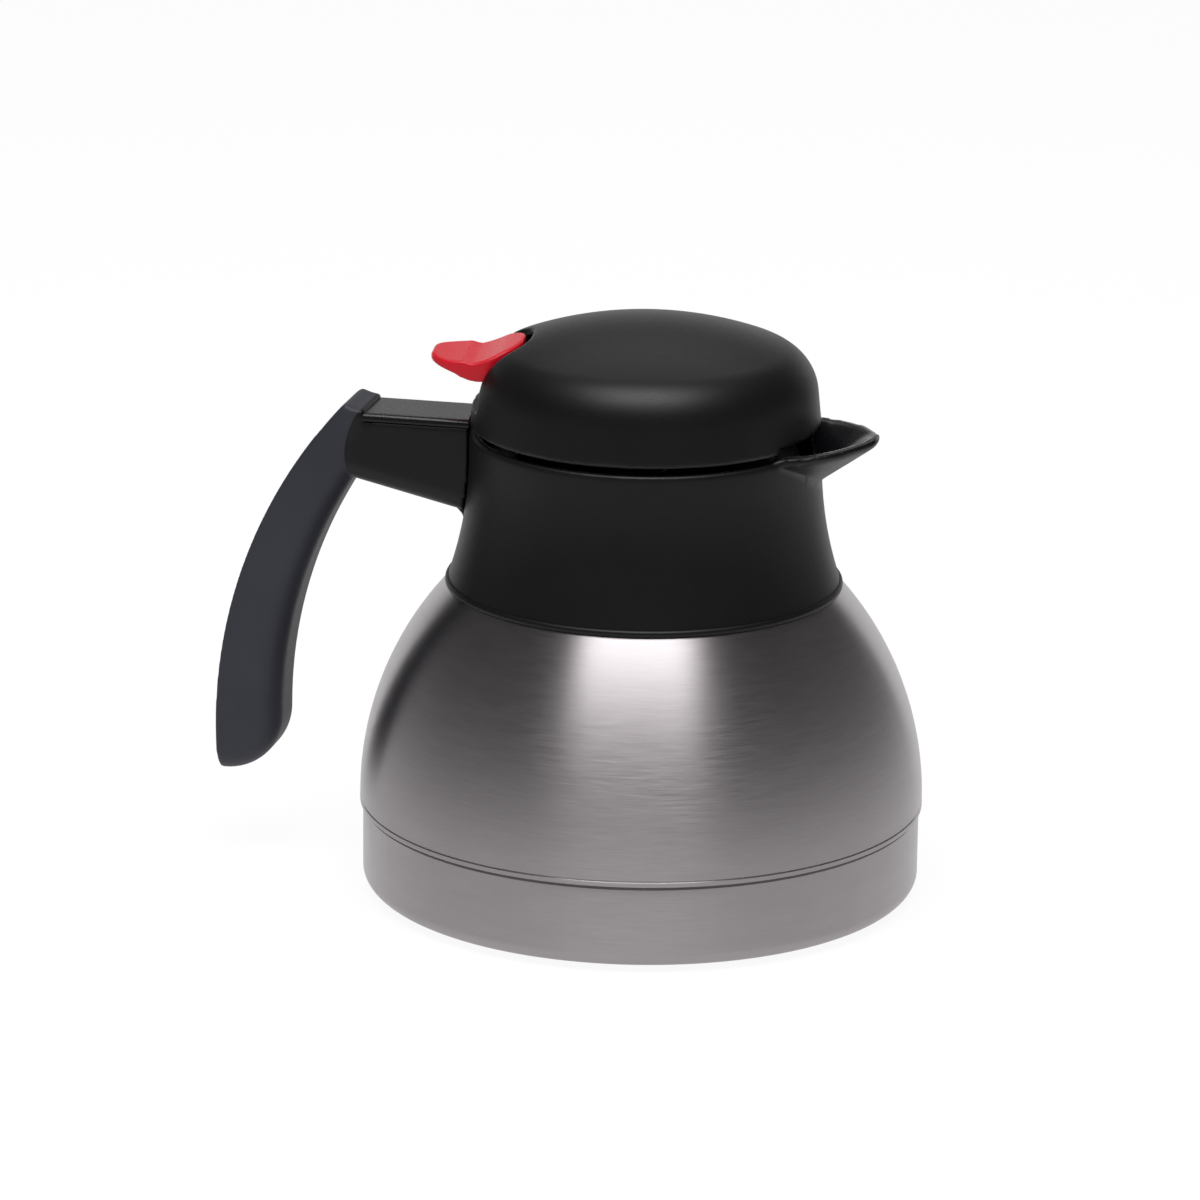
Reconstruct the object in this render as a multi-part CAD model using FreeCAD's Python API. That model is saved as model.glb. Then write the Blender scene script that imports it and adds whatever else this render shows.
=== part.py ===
import FreeCAD, Part
import math
import os

# Vacuum-insulated coffee pot: a double-walled steel body, a black collar with its spout and handle,
# and a screw-in lid whose thumb lever lifts a sprung pour valve.
# Millimetres, +Z up, origin on the pot's axis at table height, spout towards +X, handle towards -X.

Vector = FreeCAD.Vector
CENTRE = Vector(0, 0, 0)
UP = Vector(0, 0, 1)
ACROSS = Vector(0, 1, 0)

# Clearances
FIT = 0.1                    # gap between pieces that are pushed or bonded together
RUNNING_FIT = 0.05           # radial gap of a shaft in its bore
PARTING_GAP = 0.25           # gap at a parting line that shows
SOFT_GAP = 0.3               # gap beside a seal that slides or turns
OVERRUN = 5.0                # how far a cutting tool passes the face it cuts
SAME_POINT = 1e-6            # points closer than this are one point
STEEP = 0.1                  # a face whose normal rises less than this is upright

# Steel body
BODY_RADIUS = 75.0           # widest radius, at the dome's lower edge
DOME_ARC_RADIUS = 85.5       # arc of the dome in section
SEAM_HEIGHT = 23.6           # lower edge of the dome above the table
SEAM_LIP = 0.6               # straight edge between the rolled seam and the dome's arc
SEAM_GROOVE = 0.5            # dark groove between dome and base cup
SHEET = 0.8                  # thickness of the steel
NECK_RADIUS = 40.0           # outside of the neck
NECK_FILLET = 4.0            # hollow fillet from dome to neck
NECK_LENGTH = 16.0           # straight neck above the fillet
VACUUM_GAP = 4.6             # between the two walls at the dome
NECK_GAP = 2.2               # between the two walls at the neck
FLOOR_GAP = 3.4              # between flask base and inner flask
LINER_FILLET = 6.0           # fillet from inner dome to inner neck
LINER_CORNER = 10.0          # lower corner of the inner flask
SKIRT_HEIGHT = 5.0           # lower edge of the shell's skirt above the table
BASE_FLANGE = 4.0            # upturned rim of the flask base

# Base cup and foot
CUP_STEP = 0.8               # base cup stands in from the dome's edge
CUP_CORNER = 4.0             # rounded lower corner of the cup
CUP_OPENING_RADIUS = 60.0    # hole in the cup's bottom
FOOT_HEIGHT = 1.2            # foot below the cup's bottom
FOOT_LAP = 5.0               # foot overlaps the cup's bottom
FOOT_WIDTH = 9.0             # ring width of the foot
FOOT_SPIGOT = 2.0            # foot's spigot above the cup's bottom, inside the hole

# Evacuation plug and getter
PLUG_RADIUS = 2.0
PLUG_HEAD_RADIUS = 5.0
PLUG_HEAD = 0.8
GETTER_RADIUS = 7.0
GETTER_HEIGHT = 1.8
GETTER_OFFSET = 22.0

# Collar
NECK_SEAL = 1.0              # gasket on the flask's rim
SKIRT_WALL = 2.0             # collar's inner skirt, round the steel neck
SKIRT_LIFT = 3.0             # skirt ends above the start of the straight neck
SLOT_WIDTH = 1.9             # space between skirt and bell at the rim
COLLAR_WALL = 2.4
FLANGE = 2.0                 # collar's inner flange, on the gasket
FLANGE_LAP = 0.4             # flange stands back from the flask's mouth
GUTTER_DEPTH = 9.5           # rim above the flange
RIM_ROUND = 0.8
RIM_STRAIGHT = 6.7           # cylindrical band below the rim
FLARE = 6.1                  # collar's foot is wider than its rim
COLLAR_LIFT = 0.2            # gap from collar to dome

# Spout
SPOUT_HALF_WIDTH = 23.3      # at the rim
SPOUT_REACH = 15.9           # tip beyond the rim
SPOUT_STEP = 0.8             # lip's root above the rim
SPOUT_RISE = 2.0             # tip above the lip's root
SPOUT_DEPTH = 13.5           # keel meets the collar below the rim
SPOUT_LIP = 2.0              # upright edge of the lip
SPOUT_WALL = 2.3
KEEL_HALF_WIDTH = 3.5        # width where the keel runs out
KEEL_INSET = 4.0             # the keel runs out inside the collar's wall
BELLY_SHARE = 0.5            # lip's outline from above, as shares of its length and half width
BELLY_WIDTH = 0.79
NOSE_SHARE = 0.87
NOSE_WIDTH = 0.36

# Handle
ARM_RISE = 2.0               # arm's top above the rim
ARM_HALF_WIDTH = 9.6
ARM_ROOT_DEPTH = 26.0        # arm's depth at the collar
ARM_TIP_DEPTH = 18.8         # arm's depth at the grip
ARM_ROUND = 5.5              # lower edges of the arm
COVER_THICKNESS = 2.0        # cover on top of the arm
COVER_ROUND = 1.5            # upper edges of the cover
COVER_SEAM = 0.5             # bevel of the arm's edges under the cover
GRIP_REACH = 68.8            # back of the grip beyond the rim
GRIP_DROP = 89.5             # widest point below the arm's top
GRIP_THICKNESS = 17.4        # at the widest point
GRIP_HALF_WIDTH = 10.2
GRIP_BACK_RADIUS = 136.0     # arc of the back
GRIP_FRONT_RADIUS = 125.5    # arc of the finger side
GRIP_FRONT_LIFT = 3.0        # the finger side's arc starts above the widest point
GRIP_TAIL = 13.0             # lower end below the widest point
GRIP_ROUND = 6.0             # finger-side edges
HEEL_LIFT = 0.2              # lower back corner above the tail's lowest point
THROAT_BOW = 2.4             # hollow of the grip's edge beside the arm
THUMB_RISE = 2.4             # thumb stop above the arm
THUMB_RUN = 5.2              # slope from thumb stop to arm

# Handle fixing
TONGUE_LENGTH = 20.0         # collar's tongue inside the arm
TONGUE_HALF_WIDTH = 5.5
TONGUE_DROP = 5.4            # tongue's top below the arm's top
TONGUE_DEPTH = 11.0
GUSSET_HALF_WIDTH = 4.6      # collar's fillet under the arm
GUSSET_LENGTH = 4.2
GUSSET_DEPTH = 5.2
SCREW_COUNT = 2
SCREW_FIRST = 7.0            # first screw beyond the rim
SCREW_PITCH = 7.0
SCREW_RADIUS = 1.75
SCREW_LENGTH = 13.0
SCREW_HEAD_RADIUS = 3.4
SCREW_HEAD = 2.0
SCREW_SINK = 3.0             # head's seat above the arm's underside

# Cover strip in the back of the grip
STRIP_HALF_WIDTH = 7.6
STRIP_THICKNESS = 2.4
STRIP_TOP_DROP = 5.8         # strip's upper end below the arm's top
STRIP_FOOT = 5.0             # strip's lower end below the widest point
HOLLOW_HALF_WIDTH = 5.4
HOLLOW_DEPTH = 8.5
HOLLOW_MARGIN = 4.0          # hollow ends above the strip's lower end
HOLLOW_TOP_MARGIN = 12.0     # and below its upper end

# Lid
LID_TURN = 7.0               # lid stands this far short of screwed tight, in degrees
LID_GAP = 1.7                # dark gap between rim and lid
LID_INSET = 0.2              # lid stands in from the collar
LID_WALL_HEIGHT = 10.4
LID_DRAFT = 1.1              # wall leans in over its height
LID_SHOULDER_RADIUS = 13.3
LID_CROWN_RADIUS = 101.6
LID_WALL = 2.1
LID_EDGE = 0.8               # bevel of the lower edge
LID_LEDGE = 1.6              # ledge on the deck's top
LID_LEDGE_WIDTH = 2.4
LID_BEAD = 0.6               # snap bead under the deck
LID_BEAD_LAP = 0.5
POUR_RECESS = 1.6            # lower edge is raised over the spout
POUR_HALF_WIDTH = 27.3

# Stopper
STOPPER_SEAL = 1.8           # gasket between stopper and collar
STOPPER_CLEARANCE = 1.6      # plug in the flask's mouth
STOPPER_WALL = 2.2
STOPPER_FLANGE = 2.0
STOPPER_FLANGE_LAP = 5.8     # flange beyond the plug
PLUG_DEPTH = 18.0            # plug's lower end below the collar's flange
DECK_RISE = 1.2              # deck above the lid's lower edge
DECK = 2.0
WINDOW_COUNT = 6
WINDOW_WIDTH = 22.0
WINDOW_MARGIN = 0.5          # wall kept above and below a window
GUIDE_RADIUS = 4.8
GUIDE_RISE = 2.5             # guide above the deck
GUIDE_DROP = 6.0             # guide below the deck

# Valve
SEAT_PLATE = 2.4
SEAT_SPIGOT = 2.0
SEAT_OPENING_RADIUS = 12.0
SEAL_LAP = 3.5               # seal covers the opening's edge
SEAL_THICKNESS = 1.6
DISC_MARGIN = 0.5
DISC_THICKNESS = 2.5
HUB_HEIGHT = 2.4
STEM_RADIUS = 2.5
STEM_FOOT_RADIUS = 8.0
STEM_FOOT = 1.4
CAP_RADIUS = 5.6
CAP_HEIGHT = 3.2
CAP_ROOF = 1.0
SPRING_RADIUS = 6.4          # to the wire's middle
SPRING_WIRE = 0.6            # radius of the wire
SPRING_TURNS = 6
SPRING_SIDES = 8             # flats of the wire's section
SPRING_SEAT_GAP = 0.1

# Lever
PIVOT_REACH = 28.0           # pin from the pot's axis
PIVOT_RISE = 8.1             # pin above the deck
PIN_RADIUS = 1.5
EAR_RADIUS = 4.0
EAR_THICKNESS = 2.6
HUB_HALF_WIDTH = 5.4         # lever between the ears
EAR_GAP = 0.2
LEVER_HALF_WIDTH = 11.8
LEVER_OVERHANG = 10.2        # tip beyond the lid's lower edge
LEVER_TIP_ROUND = 9.0        # corners of the tip, from above
LEVER_ROOT_ROUND = 9.0       # corners of the root, from above
LEVER_FLUSH = 0.4            # lever's root below the dome's surface
LEVER_EDGE = 0.8             # rounded upper edges
PAD_TIP_RISE = 17.9          # thumb pad's end above the lid's lower edge
PAD_UNDERSIDE_RISE = 12.9    # pad's underside at the lid's wall
PAD_TIP_THICKNESS = 1.9
PAD_BOW_RISE = 1.3           # middle of the pad's underside above its lowest level
PAD_ROOT_INSET = 8.0         # pad's hollow starts on the dome, inside the lid's lower edge
PAD_WALL_INSET = 2.3         # pad's underside turns up inside the lid's lower edge
PAD_HEEL_INSET = 8.2         # pad's underside starts inside the lid's lower edge
ROOT_LENGTH = 4.2            # root of the lever beyond the pin
ROOT_CLEARANCE = 0.8         # lever's roof above the ears
NOTCH_GAP = 2.0              # slot in the dome round the lever
NOTCH_EDGE = 1.0             # rounded upper edge of the slot
NOTCH_SILL = 5.4             # slot's floor above the lid's lower edge
FORK_DROP = 0.5              # contact nubs below the pin
FORK_NUB_RADIUS = 1.5
FORK_STEP = 1.4              # arm's top below the nubs
FORK_THICKNESS = 2.8
FORK_END = 4.5               # tines beyond the stem's axis
FORK_GAP = 0.4               # slot beside the stem
FORK_PLAY = 0.15             # cap above the nubs at rest

# Levels and radii that follow
dome_base = SEAM_HEIGHT + SHEET + SEAM_LIP
dome_centre = Vector(BODY_RADIUS - DOME_ARC_RADIUS, 0, dome_base)
cup_radius = BODY_RADIUS - CUP_STEP
cup_floor = FOOT_HEIGHT
skirt_radius = cup_radius - SHEET - FIT
flask_floor = SKIRT_HEIGHT + SHEET + FLOOR_GAP
liner_arc_radius = DOME_ARC_RADIUS - SHEET - VACUUM_GAP
liner_neck_radius = NECK_RADIUS - SHEET - NECK_GAP
mouth_radius = liner_neck_radius - SHEET
neck_start = dome_base + math.sqrt(
    (DOME_ARC_RADIUS + NECK_FILLET) ** 2 - (NECK_RADIUS + NECK_FILLET - dome_centre.x) ** 2)
mouth = neck_start + NECK_LENGTH

flange_bottom = mouth + NECK_SEAL
gutter = flange_bottom + FLANGE
rim = gutter + GUTTER_DEPTH
collar_skirt_radius = NECK_RADIUS + FIT
rim_radius = collar_skirt_radius + SKIRT_WALL + SLOT_WIDTH + COLLAR_WALL
rim_inner_radius = rim_radius - COLLAR_WALL
foot_radius = rim_radius + FLARE
foot_height = dome_base + math.sqrt(DOME_ARC_RADIUS ** 2 - (foot_radius - dome_centre.x) ** 2)
flare_start = rim - RIM_STRAIGHT
flare_depth = flare_start - foot_height
flare_radius = (flare_depth ** 2 + FLARE ** 2) / (2 * FLARE)
flare_centre = Vector(rim_radius + flare_radius, 0, flare_start)
flare_angle = math.asin(flare_depth / flare_radius)

arm_top = rim + ARM_RISE
grip_back = rim_radius + GRIP_REACH
arm_seat = arm_top - COVER_THICKNESS
grip_waist = arm_top - GRIP_DROP
grip_front = grip_back - GRIP_THICKNESS
back_centre = Vector(grip_back - GRIP_BACK_RADIUS, 0, grip_waist)
front_centre = Vector(grip_front - GRIP_FRONT_RADIUS, 0, grip_waist + GRIP_FRONT_LIFT)
tongue_top = arm_top - TONGUE_DROP
tongue_bottom = tongue_top - TONGUE_DEPTH

lid_base = rim + LID_GAP
lid_radius = rim_radius - LID_INSET
lid_lean = math.atan2(LID_DRAFT, LID_WALL_HEIGHT)
lid_wall_top = Vector(lid_radius - LID_DRAFT, 0, lid_base + LID_WALL_HEIGHT)
shoulder_centre = lid_wall_top - Vector(math.cos(lid_lean), 0, math.sin(lid_lean)) * LID_SHOULDER_RADIUS
crown_gap = LID_CROWN_RADIUS - LID_SHOULDER_RADIUS
crown_turn = math.acos(shoulder_centre.x / crown_gap)
crown_centre = Vector(0, 0, shoulder_centre.z - crown_gap * math.sin(crown_turn))
lid_top = crown_centre.z + LID_CROWN_RADIUS
deck_bottom = lid_base + DECK_RISE
deck_top = deck_bottom + DECK
deck_radius = lid_radius - LID_DRAFT * (DECK_RISE + DECK) / LID_WALL_HEIGHT - LID_WALL - SOFT_GAP

plug_radius = mouth_radius - STOPPER_CLEARANCE
chamber_radius = plug_radius - STOPPER_WALL
stopper_flange_bottom = gutter + STOPPER_SEAL
stopper_flange_top = stopper_flange_bottom + STOPPER_FLANGE
stopper_flange_radius = plug_radius + STOPPER_FLANGE_LAP
plug_bottom = gutter - PLUG_DEPTH
seat_top = plug_bottom + SEAT_SPIGOT
seal_radius = SEAT_OPENING_RADIUS + SEAL_LAP
seal_top = seat_top + SEAL_THICKNESS
disc_top = seal_top + DISC_THICKNESS

pivot_height = deck_top + PIVOT_RISE
nub_top = pivot_height - FORK_DROP
cap_bottom = nub_top + FORK_PLAY
cap_top = cap_bottom + CAP_HEIGHT
ear_inner = HUB_HALF_WIDTH + EAR_GAP
ear_outer = ear_inner + EAR_THICKNESS
lever_tip = lid_radius + LEVER_OVERHANG
lever_root = PIVOT_REACH + ROOT_LENGTH
lever_heel = lid_radius - PAD_HEEL_INSET
lever_roof = pivot_height + EAR_RADIUS + ROOT_CLEARANCE
pad_underside = lid_base + PAD_UNDERSIDE_RISE
notch_floor = lid_base + NOTCH_SILL


def at(reach, height):
    """Point on the spout's side of the middle plane."""
    return Vector(reach, 0, height)


def behind(reach, height):
    """Point on the handle's side of the middle plane."""
    return Vector(-reach, 0, height)


def polar(centre, radius, angle):
    return at(centre.x + radius * math.cos(angle), centre.z + radius * math.sin(angle))


def wire(start, *steps):
    """Closed wire: a step is a line's end point, or a point on an arc with the arc's end point."""
    edges = []
    here = start
    for step in steps:
        if isinstance(step, tuple):
            end = step[1]
            edges.append(Part.Arc(here, step[0], end).toShape())
        else:
            end = step
            edges.append(Part.makeLine(here, end))
        here = end
    if not here.isEqual(start, SAME_POINT):
        edges.append(Part.makeLine(here, start))
    return Part.Wire(edges)


def tangent_middle(start, way, end):
    """Middle of the arc that leaves a start point in a given direction and ends at an end point."""
    half_chord = (end - start) * 0.5
    outward = way - half_chord * (way.dot(half_chord) / half_chord.dot(half_chord))
    outward.normalize()
    return start + half_chord + outward * (half_chord.Length * math.tan(way.getAngle(half_chord) / 2))


def biarc(start, start_way, end, end_way):
    """Two tangent arcs between two points with given unit directions."""
    chord = end - start
    square = 2 * (1 - start_way.dot(end_way))
    along = chord.dot(start_way + end_way)
    reach = (-along + math.sqrt(along ** 2 + square * chord.dot(chord))) / square
    joint = (start + start_way * reach + end - end_way * reach) * 0.5
    first = Part.Arc(start, tangent_middle(start, start_way, joint), joint)
    last = Part.Arc(joint, tangent_middle(end, -end_way, joint), end)
    return [first.toShape(), last.toShape()]


def face(start, *steps):
    return Part.Face(wire(start, *steps))


def revolved(start, *steps):
    return face(start, *steps).revolve(CENTRE, UP, 360)


def ring(inner_radius, outer_radius, bottom, top):
    return revolved(
        at(inner_radius, bottom), at(outer_radius, bottom), at(outer_radius, top), at(inner_radius, top))


def cylinder(radius, bottom, top, place=CENTRE):
    return Part.makeCylinder(radius, top - bottom, Vector(place.x, place.y, bottom))


def prism(profile, half_width):
    """Solid of an upright profile, as wide to both sides of the middle plane."""
    near = profile.translated(ACROSS * -half_width)
    return near.extrude(ACROSS * (2 * half_width))


def block(low, high):
    return Part.makeBox(high.x - low.x, high.y - low.y, high.z - low.z, low)


def mirrored(shape):
    return shape.mirror(CENTRE, ACROSS)


def fused(first, *others):
    return first.fuse(list(others)).removeSplitter()


def edge_middle(edge):
    return edge.valueAt((edge.FirstParameter + edge.LastParameter) / 2)


def edges_where(shape, test):
    """Edges whose middle point passes a test."""
    return [edge for edge in shape.Edges if test(edge_middle(edge))]


def upper_rims(shape):
    """Edges between an upright face and a face that looks up."""
    rims = []
    for edge in shape.Edges:
        middle = edge_middle(edge)
        lifts = []
        for side in shape.ancestorsOfType(edge, Part.Face):
            lifts.append(side.normalAt(*side.Surface.parameter(middle)).z)
        if min(lifts) > -STEEP and min(map(abs, lifts)) < STEEP and max(lifts) > STEEP:
            rims.append(edge)
    return rims


def dome_wall(arc_radius, neck_radius, fillet):
    """Points up a dome wall: base, on the dome, dome's end, on the fillet, start of the neck."""
    fillet_reach = neck_radius + fillet - dome_centre.x
    turn = math.acos(fillet_reach / (arc_radius + fillet))
    fillet_centre = polar(dome_centre, arc_radius + fillet, turn)
    return (
        polar(dome_centre, arc_radius, 0),
        polar(dome_centre, arc_radius, turn / 2),
        polar(dome_centre, arc_radius, turn),
        polar(fillet_centre, fillet, math.pi + turn / 2),
        polar(fillet_centre, fillet, math.pi))


def outer_shell():
    base, dome, dome_end, fillet, neck = dome_wall(DOME_ARC_RADIUS, NECK_RADIUS, NECK_FILLET)
    inner_base, inner_dome, inner_end, inner_fillet, inner_neck = dome_wall(
        DOME_ARC_RADIUS - SHEET, NECK_RADIUS - SHEET, NECK_FILLET + SHEET)
    return revolved(
        at(NECK_RADIUS, mouth - SHEET),
        neck,
        (fillet, dome_end),
        (dome, base),
        at(BODY_RADIUS, SEAM_HEIGHT),
        at(skirt_radius, SEAM_HEIGHT),
        at(skirt_radius, SKIRT_HEIGHT),
        at(skirt_radius - SHEET, SKIRT_HEIGHT),
        at(skirt_radius - SHEET, SEAM_HEIGHT + SHEET),
        at(BODY_RADIUS - SHEET, SEAM_HEIGHT + SHEET),
        inner_base,
        (inner_dome, inner_end),
        (inner_fillet, inner_neck),
        at(NECK_RADIUS - SHEET, mouth - SHEET))


def inner_flask():
    base, dome, dome_end, fillet, neck = dome_wall(liner_arc_radius, liner_neck_radius, LINER_FILLET)
    inner_base, inner_dome, inner_end, inner_fillet, inner_neck = dome_wall(
        liner_arc_radius - SHEET, mouth_radius, LINER_FILLET + SHEET)
    corner = at(base.x - LINER_CORNER, flask_floor + LINER_CORNER)
    down = -math.pi / 2
    inner_corner = LINER_CORNER - SHEET
    return revolved(
        at(0, flask_floor),
        polar(corner, LINER_CORNER, down),
        (polar(corner, LINER_CORNER, down / 2), polar(corner, LINER_CORNER, 0)),
        base,
        (dome, dome_end),
        (fillet, neck),
        at(liner_neck_radius, mouth - SHEET),
        at(NECK_RADIUS, mouth - SHEET),
        at(NECK_RADIUS, mouth),
        at(mouth_radius, mouth),
        inner_neck,
        (inner_fillet, inner_end),
        (inner_dome, inner_base),
        polar(corner, inner_corner, 0),
        (polar(corner, inner_corner, down / 2), polar(corner, inner_corner, down)),
        at(0, flask_floor + SHEET))


def flask_base():
    edge = skirt_radius - SHEET - FIT
    plate_top = SKIRT_HEIGHT + SHEET
    flange_top = plate_top + BASE_FLANGE
    return revolved(
        at(PLUG_RADIUS + RUNNING_FIT, SKIRT_HEIGHT),
        at(edge, SKIRT_HEIGHT),
        at(edge, flange_top),
        at(edge - SHEET, flange_top),
        at(edge - SHEET, plate_top),
        at(PLUG_RADIUS + RUNNING_FIT, plate_top))


def vacuum_plug():
    head_bottom = SKIRT_HEIGHT - PLUG_HEAD
    return revolved(
        at(0, head_bottom),
        at(PLUG_HEAD_RADIUS, head_bottom),
        at(PLUG_HEAD_RADIUS, SKIRT_HEIGHT),
        at(PLUG_RADIUS, SKIRT_HEIGHT),
        at(PLUG_RADIUS, SKIRT_HEIGHT + SHEET),
        at(0, SKIRT_HEIGHT + SHEET))


def getter_cup():
    bottom = SKIRT_HEIGHT + SHEET
    return cylinder(GETTER_RADIUS, bottom, bottom + GETTER_HEIGHT, at(GETTER_OFFSET, 0))


def base_cup():
    top = SEAM_HEIGHT - SEAM_GROOVE
    corner = at(cup_radius - CUP_CORNER, cup_floor + CUP_CORNER)
    inner_corner = CUP_CORNER - SHEET
    down = -math.pi / 2
    return revolved(
        at(CUP_OPENING_RADIUS, cup_floor),
        polar(corner, CUP_CORNER, down),
        (polar(corner, CUP_CORNER, down / 2), polar(corner, CUP_CORNER, 0)),
        at(cup_radius, top),
        at(cup_radius - SHEET, top),
        polar(corner, inner_corner, 0),
        (polar(corner, inner_corner, down / 2), polar(corner, inner_corner, down)),
        at(CUP_OPENING_RADIUS, cup_floor + SHEET))


def foot_ring():
    outer = CUP_OPENING_RADIUS + FOOT_LAP
    inner = outer - FOOT_WIDTH
    spigot = CUP_OPENING_RADIUS - FIT
    return revolved(
        at(inner, 0),
        at(outer, 0),
        at(outer, FOOT_HEIGHT),
        at(spigot, FOOT_HEIGHT),
        at(spigot, cup_floor + FOOT_SPIGOT),
        at(inner, cup_floor + FOOT_SPIGOT))


def neck_gasket():
    return ring(mouth_radius + FLANGE_LAP, NECK_RADIUS, mouth, flange_bottom)


def bell(offset):
    """Everything inside the collar's outer surface, grown by an offset, from the dome to the arm's top."""
    radius = flare_radius - offset
    low = math.pi + flare_angle
    return revolved(
        at(0, flare_centre.z - radius * math.sin(flare_angle)),
        polar(flare_centre, radius, low),
        (polar(flare_centre, radius, (math.pi + low) / 2), polar(flare_centre, radius, math.pi)),
        at(rim_radius + offset, arm_top + OVERRUN),
        at(0, arm_top + OVERRUN))


def collar_bell():
    """Bell, inner flange and threaded skirt of the collar, cut to sit on the dome."""
    inner_radius = flare_radius + COLLAR_WALL
    low = math.pi + flare_angle + OVERRUN / flare_radius
    under_flange = math.pi + math.asin((flare_start - flange_bottom) / inner_radius)
    flange_radius = mouth_radius + FLANGE_LAP
    skirt_foot = neck_start + SKIRT_LIFT
    rim_corner = at(rim_radius - RIM_ROUND, rim - RIM_ROUND)
    body = revolved(
        polar(flare_centre, flare_radius, low),
        (polar(flare_centre, flare_radius, (math.pi + low) / 2), at(rim_radius, flare_start)),
        at(rim_radius, rim_corner.z),
        (polar(rim_corner, RIM_ROUND, math.pi / 4), at(rim_corner.x, rim)),
        at(rim_inner_radius, rim),
        at(rim_inner_radius, gutter),
        at(flange_radius, gutter),
        at(flange_radius, flange_bottom),
        at(collar_skirt_radius, flange_bottom),
        at(collar_skirt_radius, skirt_foot),
        at(collar_skirt_radius + SKIRT_WALL, skirt_foot),
        at(collar_skirt_radius + SKIRT_WALL, flange_bottom),
        polar(flare_centre, inner_radius, under_flange),
        (polar(flare_centre, inner_radius, (under_flange + low) / 2), polar(flare_centre, inner_radius, low)))
    seat_radius = DOME_ARC_RADIUS + COLLAR_LIFT
    top = math.acos(-dome_centre.x / seat_radius)
    seat = revolved(
        at(0, dome_base),
        polar(dome_centre, seat_radius, 0),
        (polar(dome_centre, seat_radius, top / 2), polar(dome_centre, seat_radius, top)))
    return body.cut(seat)


def spout_wire(half_width, tip, root, height, rise):
    """Plan outline of the spout at one level: straight sides inside the collar, bowed sides, blunt tip."""
    length = tip - root
    back = -2 * COLLAR_WALL / length

    def on(share, width):
        return Vector(root + share * length, width * half_width, height + rise * share)

    return wire(
        on(back, 1),
        on(0, 1),
        (on(BELLY_SHARE, BELLY_WIDTH), on(NOSE_SHARE, NOSE_WIDTH)),
        (on(1, 0), on(NOSE_SHARE, -NOSE_WIDTH)),
        (on(BELLY_SHARE, -BELLY_WIDTH), on(0, -1)),
        on(back, -1))


def spout_solids():
    """Outer form of the spout and the channel through it."""
    tip = rim_radius + SPOUT_REACH
    root = math.sqrt(rim_radius ** 2 - SPOUT_HALF_WIDTH ** 2)
    keel = rim - SPOUT_DEPTH
    lip = rim + SPOUT_STEP
    outside = Part.makeLoft([
        spout_wire(KEEL_HALF_WIDTH, rim_radius - KEEL_INSET, root - KEEL_INSET, keel, 0),
        spout_wire(SPOUT_HALF_WIDTH, tip, root, lip - SPOUT_LIP, SPOUT_RISE),
        spout_wire(SPOUT_HALF_WIDTH, tip, root, lip, SPOUT_RISE)], True, True)
    inner_half = SPOUT_HALF_WIDTH - SPOUT_WALL
    inner_tip = tip - SPOUT_WALL
    inner_root = root - SPOUT_WALL
    channel_half = KEEL_HALF_WIDTH + SPOUT_WALL
    channel = Part.makeLoft([
        spout_wire(channel_half, rim_radius - SPOUT_WALL, root - KEEL_INSET, gutter, 0),
        spout_wire(inner_half, inner_tip, inner_root, lip, SPOUT_RISE),
        spout_wire(inner_half, inner_tip, inner_root, lip + OVERRUN, SPOUT_RISE)], True, True)
    return outside, channel


def arm_underside(reach):
    """Height of the arm's sloping underside."""
    root = behind(rim_radius, arm_top - ARM_ROOT_DEPTH)
    corner = grip_corner()
    share = (reach - rim_radius) / (-corner.x - rim_radius)
    return root.z + share * (corner.z - root.z)


def gusset(offset):
    """Collar's hollow fillet under the arm, grown by an offset."""
    reach = rim_radius + GUSSET_LENGTH + offset
    high = arm_underside(reach) + offset
    low = arm_underside(rim_radius) - GUSSET_DEPTH
    inside = rim_inner_radius + COLLAR_WALL / 2
    middle = behind((reach + rim_radius * 2) / 3 + offset, (high + low) / 2)
    profile = face(
        behind(inside, high + GUSSET_DEPTH / 2),
        behind(reach, high),
        (middle, behind(rim_radius, low)),
        behind(inside, low))
    return prism(profile, GUSSET_HALF_WIDTH + offset)


def tongue(offset, inside):
    low = Vector(-(rim_radius + TONGUE_LENGTH + offset), -TONGUE_HALF_WIDTH - offset, tongue_bottom - offset)
    high = Vector(-inside, TONGUE_HALF_WIDTH + offset, tongue_top + offset)
    return block(low, high)


def screw_places():
    """Seat of each handle screw's head, under the arm."""
    places = []
    for number in range(SCREW_COUNT):
        reach = rim_radius + SCREW_FIRST + number * SCREW_PITCH
        places.append(behind(reach, arm_underside(reach) + SCREW_SINK))
    return places


def neck_collar():
    outside, channel = spout_solids()
    core = cylinder(rim_radius - COLLAR_WALL / 2, 0, rim + 2 * OVERRUN)
    spout = outside.cut([channel, core])
    body = collar_bell().cut(channel)
    body = fused(body, spout, tongue(0, rim_inner_radius + COLLAR_WALL / 2), gusset(0))
    pilots = [cylinder(SCREW_RADIUS + RUNNING_FIT, seat.z, seat.z + SCREW_LENGTH + FIT, seat)
              for seat in screw_places()]
    return body.cut(pilots)


def on_back(height, inset=0.0):
    """Point on the grip's back arc at a height."""
    radius = GRIP_BACK_RADIUS - inset
    return behind(back_centre.x + math.sqrt(radius ** 2 - (height - back_centre.z) ** 2), height)


def on_front(height):
    """Point on the arc of the grip's finger side at a height."""
    rise = height - front_centre.z
    return behind(front_centre.x + math.sqrt(GRIP_FRONT_RADIUS ** 2 - rise ** 2), height)


def grip_corner():
    """Where the arm's underside meets the finger side of the grip."""
    return on_front(arm_top - ARM_TIP_DEPTH)


def cover_end():
    """Reach of the cover's end, at the foot of the thumb stop."""
    return -on_back(arm_top + THUMB_RISE).x - THUMB_RUN


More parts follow.
